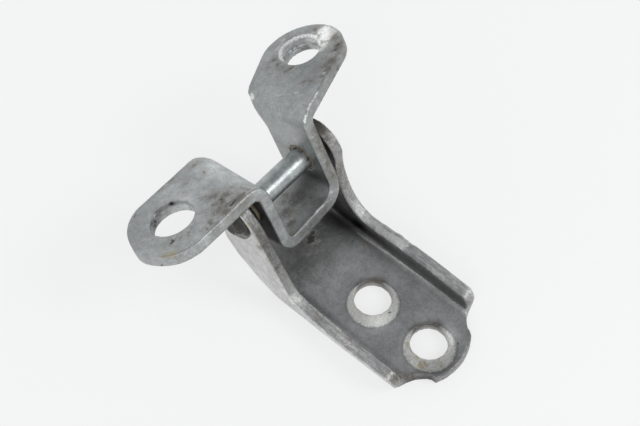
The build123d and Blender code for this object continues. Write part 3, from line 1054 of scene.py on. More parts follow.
def wing_wear() -> WearPlan:
    """Where the wing bracket is stained, specked and rubbed bare, and where highlights, light and shade are
    painted on.

    Returns:
        The marks of each layer.
    """
    return {
        Layer.RUST: (
            *on_wing(TAB_LEFT,
                (-23.3, -3.2, 1.9, 0.8), (-22.5, 1.3, 1.8, 0.65), (-27.5, -5.4, 2.2, 0.75),
                (-31.0, -6.9, 1.6, 0.8), (-20.7, -1.7, 1.6, 0.75), (-22.9, -6.2, 2.1, 0.85),
                (-33.4, -7.6, 1.1, 0.7), (-17.2, -1.8, 1.3, 0.6), (-25.8, -5.0, 1.9, 0.75),
                (-25.5, -7.6, 1.8, 0.85), (-20.8, -7.7, 1.9, 0.95, -18.0, -8.2), (-25.5, -1.6, 1.4, 0.6),
                (-23.7, 3.9, 1.0, 0.6), (-24.4, -8.4, 1.3, 0.9), (-15.9, 12.8, 1.2, 0.65),
                (-15.4, 19.5, 1.5, 0.65), (-22.6, 15.5, 1.0, 0.5), (-26.3, 12.8, 1.0, 0.5),
                (-16.5, 22.2, 0.6, 0.75, -30.0, 22.6), (-43.0, -1.2, 1.8, 0.45), (-38.0, -3.0, 1.6, 0.4),
                (-15.2, -5.0, 1.3, 0.55, -15.0, -8.0), (-36.0, 13.8, 1.2, 0.45), (-41.5, 1.5, 1.0, 0.5),
            ),
            *on_wing(TAB_RIGHT,
                (28.2, 21.3, 1.2, 0.8), (26.5, 18.9, 1.3, 0.85), (26.0, 15.9, 1.3, 0.7),
                (26.5, 11.9, 1.4, 0.65), (25.0, 12.9, 1.2, 0.7), (45.5, 18.5, 1.5, 0.8),
                (42.4, 14.9, 1.2, 0.7), (45.3, 8.4, 2.3, 0.75), (42.5, 4.2, 2.5, 0.85),
                (40.2, 3.4, 2.0, 0.75), (35.9, 0.6, 2.3, 0.75), (33.3, 0.8, 1.7, 0.7),
                (32.0, 1.4, 1.5, 0.7), (32.4, -1.0, 1.7, 0.75), (28.0, -1.6, 1.3, 0.65),
                (24.9, -0.4, 1.3, 0.6), (24.1, 1.7, 1.1, 0.6), (17.0, 22.0, 1.2, 0.4, 20.0, 26.0),
                (14.2, 3.0, 0.7, 0.45),
            ),
            *on_wing(-12.9,
                (3.4, 1.5, 4.6, 0.56), (-3.1, 0.1, 3.6, 0.52), (-6.2, -5.0, 2.6, 0.56),
                (1.0, 6.0, 3.0, 0.5),
            ),
            *on_wing(17.0,
                (39.6, 18.8, 1.6, 0.7), (33.0, 19.4, 1.2, 0.6), (36.5, -0.9, 1.6, 0.7),
            ),
            *on_front(
                (14.0, 13.0, 1.4, 0.8, 13.6, 3.0), (13.6, 3.0, 1.3, 0.8, 13.2, -7.0),
                (4.0, -15.8, 0.9, 0.5, -6.0, -15.6),
            ),
            *pin_ring(10.5, 5.6, 1.0, 0.5),
            *on_front(
                (17.5, 16.0, 1.4, 0.4, 30.0, 19.0),
            ),
        ),
        Layer.SOOT: (
            *on_wing(TAB_LEFT,
                (-43.0, -1.2, 0.8, 1.0), (-42.6, -0.6, 0.6, 0.9), (-40.2, -2.0, 0.6, 0.9),
                (-40.6, -0.4, 0.5, 0.8), (-41.9, 0.6, 0.5, 0.8), (-41.1, 21.0, 0.6, 0.8),
                (-22.8, -2.6, 0.6, 0.8), (-23.7, -4.6, 0.5, 0.7), (-20.6, -8.0, 0.7, 0.8, -22.6, -8.4),
                (-37.0, 15.6, 0.45, 0.6),
            ),
            *on_wing(TAB_RIGHT,
                (26.8, 11.5, 0.6, 0.9), (25.4, 13.0, 0.6, 0.8), (27.6, 11.0, 0.5, 0.7),
                (42.5, 4.6, 0.9, 0.85), (40.4, 3.0, 0.7, 0.8), (30.0, -0.4, 0.5, 0.7),
            ),
            *on_wing(10.0,
                (-38.6, 14.2, 1.8, 0.75), (-35.6, 14.8, 1.6, 0.55),
            ),
            *on_wing(18.0,
                (38.6, 19.8, 1.2, 0.6), (36.0, 21.0, 1.0, 0.5),
            ),
            *in_wing(
                (-50.1, -1.1, 10.2, 0.5, 0.8, -49.7, -1.9, 8.4),
            ),
        ),
        Layer.OCHRE: (
            *on_wing(TAB_LEFT,
                (-47.4, -3.5, 1.7, 0.6, -46.3, -5.6),
            ),
            *on_wing(TAB_RIGHT,
                (44.6, 10.5, 1.5, 0.5), (35.0, -0.2, 1.2, 0.4),
            ),
            *on_wing(-13.2,
                (-8.5, -8.0, 1.5, 0.6), (-3.0, -2.0, 3.0, 0.35),
            ),
            *pin_ring(10.5, 5.2, 1.0, 0.4),
        ),
        Layer.PALE_AND_PAINTED_LIGHT: (
            *on_wing(TAB_RIGHT,
                (18.6, 1.3, 0.7, 0.8, 19.6, 0.2), (15.5, 6.5, 0.35, 0.7, 17.6, 3.4),
                (46.0, 12.5, 3.4, 0.6), (31.5, 22.6, 1.0, 0.5, 38.0, 26.0),
            ),
        ),
        # Apart from the right tab's worn patch and faint washer line, painted highlights along the front
        # edges, the tray's rim and the bends.
        Layer.BARE_AND_HIGHLIGHT: (
            *on_wing(TAB_RIGHT,
                (46.7, 15.2, 3.0, 0.9), (44.0, 12.0, 3.2, 0.95), (40.8, 8.8, 2.2, 0.85),
                (38.2, 8.7, 1.5, 0.8), (30.0, -1.6, 0.7, 1.0), (31.0, 24.2, 0.5, 0.3, 38.5, 26.4),
                (22.3, -6.3, 0.75, 1.0, 18.4, -7.9), (18.4, -7.9, 0.75, 1.0, 14.2, -9.4),
            ),
            *on_wing(TAB_LEFT,
                (-24.2, -9.5, 0.36, 1.0, -16.8, -9.5),
            ),
            *on_wing(-13.0,
                (1.2, -9.5, 0.36, 0.75, 8.6, -9.5),
            ),
            *on_front(
                (11.6, 18.0, 1.0, 0.9, 12.6, 19.4),
            ),
            *in_wing(
                (12.4, 16.8, 18.9, 1.8, 0.95), (9.7, -9.4, -11.3, 0.7, 1.0),
            ),
        ),
        # Painted light along the left tab's bend and on the left hole's lit wall; painted shade in the tray,
        # the pin's shadow on it, at the right leg's root and under the left hole's upper edge; the rest
        # lighter or darker places.
        Layer.SHADE_LIGHT_AND_WEAR: (
            *in_wing(
                (-13.4, -6.0, 11.0, 4.6, 0.2, -13.4, 12.0, 11.0),
                (-13.6, 14.0, 11.0, 4.0, 0.16, -13.6, 22.0, 11.0), (-26.0, 18.0, TAB_LEFT, 10.0, 0.05),
                (2.0, -1.0, -12.6, 9.5, -0.21), (9.0, 3.0, -10.0, 5.5, -0.26),
                (10.4, -3.0, -7.5, 5.0, -0.18), (10.5, 0.0, 9.5, 6.0, 0.12),
                (-9.5, WING_FRONT, -14.8, 2.6, -0.16, 7.0, WING_FRONT, -14.4),
                (-13.0, WING_FRONT, -3.0, 3.0, -0.07), (30.0, 8.0, TAB_RIGHT, 12.0, -0.14),
                (-28.6, 9.6, 10.6, 2.4, 0.2), (14.5, 0.0, 13.0, 6.0, 0.09),
                (45.0, 13.0, TAB_RIGHT, 5.5, 0.36), (-36.5, 15.0, 11.6, 0.8, -0.3, -31.2, 13.3, 11.6),
                (-31.2, 13.3, 11.6, 0.8, -0.3, -28.5, 8.6, 11.6),
                (-46.0, -6.0, 8.5, 4.5, 0.09, -38.0, -9.6, 8.5),
            ),
        ),
    }


@dataclass
class Pressing:
    """What both brackets share: an even skin of the sheet, its wear and its finish."""

    frame: dict
    effects: Effects
    voxel: float = 0.42
    smoothing: int = 3
    waviness: float = 0.05
    wave_size: float = 14.0
    rim_lump: float = 1.1
    rim_rough: float = 0.07
    wave_seed: int = 3
    rim_seed: int = 9
    washers: tuple[Washer, ...] = ()
    pits: tuple[Mark, ...] = ()

    def worked(self, points: np.ndarray, normals: np.ndarray, sheet: tuple[np.ndarray, np.ndarray],
               to_row: Callable[[np.ndarray], np.ndarray]) -> tuple[np.ndarray, np.ndarray]:
        """Moves a voxel skin onto the sheet's faces, with waves, rough rims, pits and footprints.

        Args:
            points: The skin's places, in the frame that it was made in.
            normals: Its normals.
            sheet: Distance of each place from the sheet's middle, and the direction away from it.
            to_row: Turns the skin's frame into the row frame.

        Returns:
            The moved places and the mask of the cut rims.
        """
        away, direction = sheet
        rim = 1.0 - smoothstep(1.45, 1.95, away)
        face = smoothstep(1.9, 2.06, away)
        points = points + direction * ((SHEET / 2.0 - away) * face)[:, None]
        wave = cloud(points, self.wave_size, self.wave_seed) * self.waviness * face
        rough = cloud(points, self.rim_lump, self.rim_seed) * self.rim_rough * rim
        dents = self.dents(to_row(points))
        return points + normals * (wave + rough - dents)[:, None], rim

    def wear(self, mesh: bpy.types.Mesh, points: np.ndarray, plan: WearPlan, rim: np.ndarray,
             slope: np.ndarray | float = 0.0) -> None:
        """Writes every layer of a bracket but its tone: wear, with painted highlights in the bare layer and
        painted light in the pale one.

        Args:
            mesh: The bracket's mesh.
            points: Its places in row-frame millimetres.
            plan: The marks of each layer.
            rim: Mask of the cut edges.
            slope: Mask of a bare countersink.
        """
        bare = np.maximum(mark_layer(points, plan[Layer.BARE_AND_HIGHLIGHT]), slope)
        for washer in self.washers:
            up, out = self.round_washer(points, washer)
            near = 1.0 - smoothstep(0.5, 1.1, np.abs(up))
            flat = 1.0 - smoothstep(washer.radius - 0.25, washer.radius + 0.15, out)
            line = 0.8 * np.exp(-(((out - washer.radius) / 0.35) ** 2))
            bare = np.maximum(bare, washer.strength * np.maximum(flat, line) * near)
        store_layer(mesh, Layer.RIM, rim)
        store_layer(mesh, Layer.BARE_AND_HIGHLIGHT, bare)
        ragged = warped(points)
        held = {}
        for layer in (Layer.RUST, Layer.SOOT, Layer.OCHRE, Layer.PALE_AND_PAINTED_LIGHT):
            held[layer] = mark_layer(ragged, plan[layer])
            store_layer(mesh, layer, held[layer])
        wide = [Mark(m.place, m.radius * 2.3 + 0.6, m.strength * 0.8, m.end) for m in plan[Layer.RUST]]
        patchy = 0.8 + 0.35 * cloud(points, 2.6, 61)
        store_layer(mesh, Layer.FILM, mark_layer(ragged, wide) * patchy)
        crusted = np.maximum(held[Layer.RUST], held[Layer.SOOT])
        clumps = smoothstep(0.0, 0.35, cloud(points, 1.6, 57))
        store_layer(mesh, Layer.CRUMBS, smoothstep(0.35, 0.9, crusted) * clumps)

    def round_washer(self, points: np.ndarray, washer: Washer) -> tuple[np.ndarray, np.ndarray]:
        """Where each point lies as seen from a washer.

        Args:
            points: Places in row-frame millimetres.
            washer: The washer.

        Returns:
            Height over its face and distance from its axis.
        """
        offset = points - np.array(washer.place)
        up = offset @ np.array(washer.axis)
        return up, np.linalg.norm(offset - up[:, None] * np.array(washer.axis), axis=1)

    def dents(self, points: np.ndarray) -> np.ndarray:
        """Depth of the pits and the washers' footprints below the sheet's skin.

        Args:
            points: Places in row-frame millimetres.

        Returns:
            Depths in millimetres.
        """
        depth = np.zeros(len(points))
        for pit in self.pits:
            depth = np.maximum(depth, pit.strength * (1.0 - smoothstep(0.2, 1.0, mark_reach(points, pit))))
        for washer in self.washers:
            up, out = self.round_washer(points, washer)
            near = 1.0 - smoothstep(0.6, 1.2, np.abs(up))
            flat = 1.0 - smoothstep(washer.radius - 0.3, washer.radius + 0.1, out)
            lip = np.exp(-(((out - washer.radius - 0.45) / 0.35) ** 2))
            depth += near * (washer.depth * flat - 0.35 * washer.depth * lip)
        return depth

    def crumbs(self, bracket: bpy.types.Object, tree: "CrumbTree", body: Body, slot: Slot,
               node: str) -> bpy.types.Object:
        """Scatters crumbs of rust over the bracket's stains.

        Args:
            bracket: The finished bracket.
            tree: The scattering tree.
            body: The body that it rides on.
            slot: The record's material slot; not used.
            node: The CAD node whose box holds the crumbs.

        Returns:
            The crumbs, as one piece.
        """
        mesh = tree.scatter(bracket.data, RustScale().material(self.effects))
        points, _ = mesh_arrays(mesh)
        # The first slot is an empty one, so the crumbs show the plain default surface and not the rust.
        return finish_piece(f"{body.value}_rust_crumbs", mesh, keep_inside(points, node), mesh.materials[0],
                            body)


@dataclass
class BaseBracket(Pressing):
    """The channel-shaped pressing that is bolted down, with its two ears."""

    flange_front: float = -14.1
    lean: float = math.radians(14.5)
    lean_from: float = 4.0
    lean_to: float = 30.0
    half_tongue: float = 15.6
    half_ears: float = 16.3
    left_outward: float = 0.6
    wall: float = 50.0
    bend: float = 1.8
    washers: tuple[Washer, ...] = (
        Washer((-1.75, 10.33, SHEET), UP, 8.34, 0.09, 1.0),
        Washer((-1.75, -13.67, SHEET), UP, 8.34, 0.09, 0.85),
    )
    pits: tuple[Mark, ...] = on_web(
        (8.7, 34.1, 0.5, 0.12), (11.4, 31.1, 0.5, 0.12), (5.2, -19.4, 0.7, 0.12))
    rim_left: tuple[tuple[float, ...], tuple[float, ...]] = (
        (-14.0, 12.0, 24.0, 28.0, 36.0, 52.0), (-0.02, 0.0, 0.04, -0.08, -0.17, -0.18))
    rim_right: tuple[tuple[float, ...], tuple[float, ...]] = (
        (-14.0, 10.0, 33.0, 44.0, 52.0), (0.09, 0.09, 0.13, 0.0, -0.12))
    # Painted light: the outsides of the sheet made paler, as if lit.
    painted_outer_light: float = 0.4

    def section(self, y: float) -> np.ndarray:
        """Middle line of the sheet in the section across the base.

        Args:
            y: Where the section is taken.

        Returns:
            The line's places, x and z.
        """
        share = min(max((self.lean_to - y) / (self.lean_to - self.lean_from), 0.0), 1.0)
        lean = self.lean * share * share * (3.0 - 2.0 * share)
        widen = min(max((y - self.flange_front) / (self.lean_to - self.flange_front), 0.0), 1.0)
        half = SHEET / 2.0
        corners = []
        for side, outward in ((-1.0, self.left_outward), (1.0, 0.0)):
            wide = self.half_tongue + (self.half_ears + outward - self.half_tongue) * widen
            foot_x = wide + half * (1.0 - math.sin(lean)) / math.cos(lean)
            foot = (side * foot_x, half)
            top = (side * (foot_x + self.wall * math.sin(lean)), half + self.wall * math.cos(lean))
            corners.append((top, foot))
        (left_top, left_foot), (right_top, right_foot) = corners
        radius = self.bend + half
        return rounded_path([left_top, left_foot, right_foot, right_top], [radius, radius])

    def sheet_place(self, points: np.ndarray) -> tuple[np.ndarray, np.ndarray]:
        """Where each point lies in the sheet, taken in slices across the base.

        Args:
            points: Places in row-frame millimetres.

        Returns:
            Distance from the sheet's middle, and the direction away from it.
        """
        away = np.zeros(len(points))
        direction = np.zeros_like(points)
        slices = np.round(points[:, 1] * 2.0) / 2.0
        for y in np.unique(slices):
            chosen = slices == y
            best, out = path_distance(points[chosen][:, [0, 2]], self.section(float(y)))
            away[chosen] = best
            direction[chosen] = np.column_stack([out[:, 0], np.zeros(len(best)), out[:, 1]])
        return away, direction

    def tone(self, points: np.ndarray, direction: np.ndarray, rim: np.ndarray,
             marks_of_tone: Sequence[Mark]) -> np.ndarray:
        """Painted light and shade of the bracket: outsides painted paler as if lit, uneven rims and dark
        rings round the footprints.

        Args:
            points: Places in row-frame millimetres.
            direction: Direction away from the sheet's middle.
            rim: Mask of the cut edges.
            marks_of_tone: Places of painted light and shade, and lighter or darker wear.

        Returns:
            One value a point.
        """
        side = np.sign(points[:, 0])
        tone = shade_light_and_wear_layer(points, marks_of_tone)
        # Painted light on the outsides.
        tone += self.painted_outer_light * smoothstep(0.35, 0.85, side * direction[:, 0]) * (1.0 - rim)
        left, right = (np.interp(points[:, 1], *line) for line in (self.rim_left, self.rim_right))
        tone += rim * np.where(side < 0.0, left, right) * (np.abs(points[:, 0]) > self.half_tongue)
        for washer in self.washers:
            up, out = self.round_washer(points, washer)
            tone -= 0.1 * np.exp(-(((out - washer.radius - 0.5) / 0.45) ** 2)) * (np.abs(up) < 1.0)
        return tone

    def build(self, finish: CoatedSteel) -> bpy.types.Object:
        """Makes the bracket.

        Args:
            finish: Its finish.

        Returns:
            The piece, which stands for the CAD node.
        """
        mesh = voxel_skin(self.frame["nodes"]["base_bracket"], Matrix.Identity(4), self.voxel,
                          self.smoothing)
        points, normals = mesh_arrays(mesh)
        away, direction = self.sheet_place(points)
        points, rim = self.worked(points, normals, (away, direction), lambda own: own)
        points = keep_inside(points, "base_bracket")
        plan = base_wear()
        self.wear(mesh, points, plan, rim)
        store_layer(mesh, Layer.SHADE_LIGHT_AND_WEAR, self.tone(points, direction, rim, plan[Layer.SHADE_LIGHT_AND_WEAR]))
        piece = finish_piece("base_bracket_pressing", mesh, points, finish.material(self.effects),
                             Body.BASE)
        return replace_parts(piece, "base_bracket")


@dataclass
class WingBracket(Pressing):
    """The hat-shaped pressing that turns on the pin, with its two tabs."""

    wave_size: float = 13.0
    wave_seed: int = 21
    rim_seed: int = 5
    tray_left: float = -13.6
    tray_right: float = -12.0
    bend: float = 1.8
    tray_bend_right: float = 5.0
    strip_end: float = 70.0
    sink_radius: float = 7.6
    sink_depth: float = 3.4
    groove_pitch: float = 0.9
    # Painted shade on the legs' outsides, in the gaps between legs and ears.
    painted_leg_shade: float = 0.4
    swell: tuple[tuple[float, ...], tuple[float, ...]] = (
        (-7.0, -2.0, 2.0, 8.0, 14.0, 17.0, 20.0, 23.0), (0.0, 0.5, 0.9, 1.43, 1.96, 2.1, 1.7, 0.7))
    washers: tuple[Washer, ...] = (
        Washer(wing_to_row(*RIGHT_FOOTPRINT, TAB_RIGHT), WING_UP, 8.3, 0.05, 0.0),
        Washer(wing_to_row(*LEFT_HOLE, TAB_LEFT), WING_UP, 9.2, 0.05, 0.1),
        Washer(wing_to_row(*LEFT_HOLE, TAB_LEFT), WING_UP, 11.2, 0.05, 0.1),
    )
    pits: tuple[Mark, ...] = on_wing(
        TAB_LEFT, (-23.3, -3.2, 0.8, 0.12), (-20.8, -7.7, 0.9, 0.12), (-43.0, -1.2, 0.6, 0.15),
        (-41.1, 21.0, 0.5, 0.12), (-25.8, -5.0, 0.8, 0.1)) + on_wing(
        TAB_RIGHT, (26.8, 11.5, 0.6, 0.12), (42.5, 4.6, 0.8, 0.15))

    def section(self) -> np.ndarray:
        """Middle line of the folded strip.

        Returns:
            The line's places, x and u.
        """
        half = SHEET / 2.0
        slope = math.atan2(self.tray_right - self.tray_left, 2.0 * LEG_INSIDE)
        drop = half / math.cos(slope)
        leg = LEG_INSIDE + half
        rise = math.tan(slope) * half
        corners = [(-self.strip_end, TAB_LEFT - half), (-leg, TAB_LEFT - half),
                   (-leg, self.tray_left - drop - rise), (leg, self.tray_right - drop + rise),
                   (leg, TAB_RIGHT - half), (self.strip_end, TAB_RIGHT - half)]
        small = self.bend + half
        return rounded_path(corners, [small, small, self.tray_bend_right + half, small])

    def tone(self, local: np.ndarray, points: np.ndarray, direction: np.ndarray, rim: np.ndarray,
             marks_of_tone: Sequence[Mark]) -> np.ndarray:
        """Painted light and shade of the bracket: painted shade on the legs' outsides in the gaps by the
        ears, and grooves in the upper tab's hole.

        Args:
            local: Places in the wing's own frame.
            points: The same places in the row frame.
            direction: Direction away from the sheet's middle.
            rim: Mask of the cut edges.
            marks_of_tone: Places of painted light and shade, and lighter or darker wear.

        Returns:
            One value a point.
        """
        tone = shade_light_and_wear_layer(points, marks_of_tone)
        # Painted shade on the legs' outsides near the pin, where they face the ears.
        outer = smoothstep(0.6, 0.95, np.sign(local[:, 0]) * direction[:, 0]) * (1.0 - rim)
        outer *= (np.abs(local[:, 0]) > 13.0) * (np.abs(local[:, 0]) < 16.0)
        from_pin = np.hypot(local[:, 1], local[:, 2])
        tone -= self.painted_leg_shade * outer * (1.0 - smoothstep(13.0, 21.0, from_pin))
        reach = self.from_sink(local)
        deep = smoothstep(self.sink_radius - 0.9, self.sink_radius - 2.2, reach)
        deep *= local[:, 2] > TAB_RIGHT - 6.0
        grooves = np.sin(local[:, 2] * 2.0 * math.pi / self.groove_pitch + 1.4 * cloud(points, 3.0, 91))
        tone -= deep * (0.08 * grooves + 0.22 * cloud(points, 1.4, 93) - 0.08)
        return tone

    def build(self, finish: CoatedSteel) -> bpy.types.Object:
        """Makes the bracket.

        Args:
            finish: Its finish.

        Returns:
            The piece, which stands for the CAD node.
        """
        turn = Matrix.Rotation(WING_TURN, 4, "X") @ Matrix.Translation(-Vector(PIN_AXIS))
        mesh = voxel_skin(self.frame["nodes"]["wing_bracket"], turn, self.voxel, self.smoothing)
        local, normals = mesh_arrays(mesh)
        away, out = path_distance(local[:, [0, 2]], self.section())
        direction = np.column_stack([out[:, 0], np.zeros(len(away)), out[:, 1]])
        local, rim = self.worked(local, normals, (away, direction), wing_from)
        local, slope = self.countersunk(self.swollen_bend(local))
        points = keep_inside(wing_from(local), "wing_bracket")
        plan = wing_wear()
        self.wear(mesh, points, plan, rim * (1.0 - slope), slope)
        store_layer(mesh, Layer.SHADE_LIGHT_AND_WEAR, self.tone(local, points, direction, rim, plan[Layer.SHADE_LIGHT_AND_WEAR]))
        piece = finish_piece("wing_bracket_pressing", mesh, points, finish.material(self.effects),
                             Body.WING)
        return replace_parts(piece, "wing_bracket")

    def from_sink(self, local: np.ndarray) -> np.ndarray:
        """Distance of each place in the wing's frame from the countersink's axis."""
        return np.linalg.norm(local[:, :2] - np.array(RIGHT_FOOTPRINT), axis=1)

    def countersunk(self, local: np.ndarray) -> tuple[np.ndarray, np.ndarray]:
        """Slopes the upper tab's face down into its hole.

        Args:
            local: Places in the wing's own frame.

        Returns:
            The moved places and the mask of the bright lip.
        """
        share = np.clip((self.sink_radius - self.from_sink(local)) / self.sink_radius, 0.0, 1.0)
        above = np.clip((local[:, 2] - TAB_RIGHT + SHEET) / SHEET, 0.0, 1.0) * (local[:, 0] > 20.0)
        moved = local.copy()
        moved[:, 2] -= self.sink_depth * share * above
        lip = smoothstep(0.0, 0.04, share) * (1.0 - smoothstep(0.12, 0.24, share))
        return moved, lip * smoothstep(0.6, 0.9, above)

    def swollen_bend(self, local: np.ndarray) -> np.ndarray:
        """Fills out the outer corner of the lower tab's bend towards its rear edge.

        Args:
            local: Places in the wing's own frame.

        Returns:
            The moved places.
        """
        middle = np.array([-LEG_INSIDE - self.bend - SHEET, TAB_LEFT - self.bend - SHEET])
        rel = local[:, [0, 2]] - middle
        reach = np.linalg.norm(rel, axis=1)
        angle = np.arctan2(rel[:, 1], rel[:, 0])
        inside = (angle > 0.0) & (angle < math.pi / 2.0) & (reach < self.bend + SHEET + 1.0)
        along = np.interp(local[:, 1], *self.swell)
        lift = along * np.sin(2.0 * np.clip(angle, 0.0, math.pi / 2.0)) ** 1.5
        lift *= smoothstep(self.bend - 0.5, self.bend + SHEET, reach) * inside
        moved = local.copy()
        moved[:, [0, 2]] += lift[:, None] * rel / np.maximum(reach, 1e-6)[:, None]
        return moved


class MeshTree:
    """A Geometry Nodes tree with named inputs, whose result is taken as a plain mesh."""

    def __init__(self, name: str, inputs: Sequence[tuple[str, str]]) -> None:
        """Makes the tree and its sockets.

        Args:
            name: The tree's name.
            inputs: Name and short type of each input after the source mesh.
        """
        self.tree = bpy.data.node_groups.new(name, "GeometryNodeTree")
        face = self.tree.interface.new_socket
        face("Source", in_out="INPUT", socket_type="NodeSocketGeometry")
        self.sockets = {}
        for label, kind in (*inputs, ("Finish", "Material")):
            socket = face(label, in_out="INPUT", socket_type=f"NodeSocket{kind}")
            self.sockets[label] = socket.identifier
        face("Made", in_out="OUTPUT", socket_type="NodeSocketGeometry")
        self.sheet = NodeSheet(self.tree)
        self.given = self.sheet.node("NodeGroupInput").outputs

    def hand_over(self, shape: bpy.types.NodeSocket) -> None:
        """Gives a shape its finish and puts it out.

        Args:
            shape: The shape, with its instances realized.
        """
        inputs = {"Geometry": shape, "Material": self.given["Finish"]}
        dressed = self.sheet.node("GeometryNodeSetMaterial", inputs=inputs)
        self.sheet.node("NodeGroupOutput", inputs={"Made": dressed.outputs[0]})

    def run(self, source: bpy.types.Mesh, values: dict[str, object]) -> bpy.types.Mesh:
        """Runs the tree over a mesh, which is removed.

        Args:
            source: The mesh that it starts from.
            values: Its inputs by their names.

        Returns:
            The result as a plain mesh.
        """
        holder = bpy.data.objects.new("tree_source", source)
        bpy.context.scene.collection.objects.link(holder)
        modifier = holder.modifiers.new("tree", "NODES")
        modifier.node_group = self.tree
        for label, value in values.items():
            modifier[self.sockets[label]] = value
        done = holder.evaluated_get(bpy.context.evaluated_depsgraph_get())
        made = bpy.data.meshes.new_from_object(done)
        holder.modifiers.remove(modifier)
        bpy.data.objects.remove(holder)
        bpy.data.meshes.remove(source)
        return made


class CrumbTree(MeshTree):
    """Scatters flat crumbs over a bracket's stains."""

    def __init__(self) -> None:
        """Builds the tree once."""
        super().__init__("rust_crumbs",
                         [("Crumb Size", "Float"), ("Crumbs per Area", "Float"), ("Seed", "Int")])
        sheet, given = self.sheet, self.given
        mask = sheet.node("GeometryNodeInputNamedAttribute", data_type="FLOAT",
                          inputs={"Name": Layer.CRUMBS.value})
        density = sheet.times(mask.outputs["Attribute"], given["Crumbs per Area"])
        points = sheet.node("GeometryNodeDistributePointsOnFaces",
                            inputs={"Mesh": given["Source"], "Density": density, "Seed": given["Seed"]})
        crumb = sheet.node("GeometryNodeMeshIcoSphere", inputs={"Radius": 1.0, "Subdivisions": 1})
        spread = sheet.node("FunctionNodeRandomValue", data_type="FLOAT_VECTOR",
                            inputs={"Min": (0.4, 0.4, 0.16), "Max": (1.0, 1.0, 0.42), "Seed": given["Seed"]})
        placed = sheet.node("GeometryNodeInstanceOnPoints",
                            inputs={"Points": points.outputs["Points"], "Instance": crumb.outputs[0],
                                    "Rotation": points.outputs["Rotation"],
                                    "Scale": self.scaled(spread.outputs[0], given["Crumb Size"])})
        real = sheet.node("GeometryNodeRealizeInstances", inputs={"Geometry": placed.outputs[0]})
        where = sheet.node("GeometryNodeInputPosition").outputs[0]
        rough = sheet.node("ShaderNodeTexNoise", inputs={"Vector": where, "Scale": 2.4})
        centred = sheet.node("ShaderNodeVectorMath", operation="SUBTRACT", inputs={0: rough.outputs["Color"]})
        centred.inputs[1].default_value = (0.5, 0.5, 0.5)
        shift = self.scaled(centred.outputs[0], given["Crumb Size"])
        broken = sheet.node("GeometryNodeSetPosition", inputs={"Geometry": real.outputs[0], "Offset": shift})
        self.hand_over(broken.outputs[0])

    def scaled(self, vector: bpy.types.NodeSocket, scale: bpy.types.NodeSocket) -> bpy.types.NodeSocket:
        """A vector times a number, as a socket."""
        inputs = {0: vector, "Scale": scale}
        return self.sheet.node("ShaderNodeVectorMath", operation="SCALE", inputs=inputs).outputs[0]

    def scatter(self, bracket: bpy.types.Mesh, finish: bpy.types.Material, size: float = 0.17,
                count: float = 0.8, seed: int = 11) -> bpy.types.Mesh:
        """Scatters crumbs over a finished bracket.

        Args:
            bracket: The bracket's mesh, in metres.
            finish: The crumbs' material.
            size: Half the width of the largest crumb, in millimetres.
            count: Crumbs on each fully crusted square millimetre.
            seed: Which scatter.

        Returns:
            The crumbs' mesh, in millimetres.
        """
        ground = bracket.copy()
        ground.transform(Matrix.Scale(PER_METRE, 4))
        return self.run(ground, {"Crumb Size": size, "Crumbs per Area": count, "Seed": seed,
                                 "Finish": finish})


class TurnedTree(MeshTree):
    """Turns a profile round the pin's axis."""

    def __init__(self) -> None:
        """Builds the tree once."""
        super().__init__("turned_round_pin_axis",
                         [("Sides Round", "Int"), ("Axis Y", "Float"), ("Axis Z", "Float")])
        sheet, given = self.sheet, self.given
        profile = given["Source"]
        size = sheet.node("GeometryNodeAttributeDomainSize", inputs={"Geometry": profile})
        count = size.outputs["Point Count"]
        columns = sheet.math("ADD", given["Sides Round"], 1.0)
        net = sheet.node("GeometryNodeMeshGrid", inputs={"Size X": 1.0, "Size Y": 1.0, "Vertices X": columns,
                                                         "Vertices Y": count})
        index = sheet.node("GeometryNodeInputIndex").outputs[0]
        row = sheet.math("MODULO", index, count)
        column = sheet.math("FLOOR", sheet.math("DIVIDE", index, count))
        angle = sheet.times(sheet.math("DIVIDE", column, given["Sides Round"]), 2.0 * math.pi)
        where = sheet.node("GeometryNodeInputPosition").outputs[0]
        taken = sheet.node("GeometryNodeSampleIndex", data_type="FLOAT_VECTOR",
                           inputs={"Geometry": profile, "Value": where, "Index": row})
        parts = sheet.node("ShaderNodeSeparateXYZ", inputs={"Vector": taken.outputs[0]}).outputs
        side = sheet.times(parts[1], sheet.math("COSINE", angle))
        rise = sheet.times(parts[1], sheet.math("SINE", angle))
        place = sheet.node("ShaderNodeCombineXYZ",
                           inputs={"X": parts[0], "Y": sheet.math("ADD", side, given["Axis Y"]),
                                   "Z": sheet.math("ADD", rise, given["Axis Z"])})
        wound = sheet.node("GeometryNodeSetPosition",
                           inputs={"Geometry": net.outputs[0], "Position": place.outputs[0]})
        closed = sheet.node("GeometryNodeMergeByDistance",
                            inputs={"Geometry": wound.outputs[0], "Distance": 1e-4})
        real = sheet.node("GeometryNodeRealizeInstances", inputs={"Geometry": closed.outputs[0]})
        self.hand_over(real.outputs[0])

    def turn(self, profile: Sequence[tuple[float, float]], sides: int,
             finish: bpy.types.Material) -> bpy.types.Mesh:
        """Turns a profile into a closed mesh.

        Args:
            profile: Places along the pin and radii, in millimetres. A sleeve's ends where it starts.
            sides: Faces round the axis.
            finish: The material.

        Returns:
            The mesh, in row-frame millimetres, with its faces pointing outwards.
        """
        line = bpy.data.meshes.new("turned_profile")
        edges = [(i, i + 1) for i in range(len(profile) - 1)]
        line.from_pydata([(x, radius, 0.0) for x, radius in profile], edges, [])
        made = self.run(line, {"Sides Round": sides, "Axis Y": float(PIN_AXIS[1]),
                               "Axis Z": float(PIN_AXIS[2]), "Finish": finish})
        outward(made)
        return made


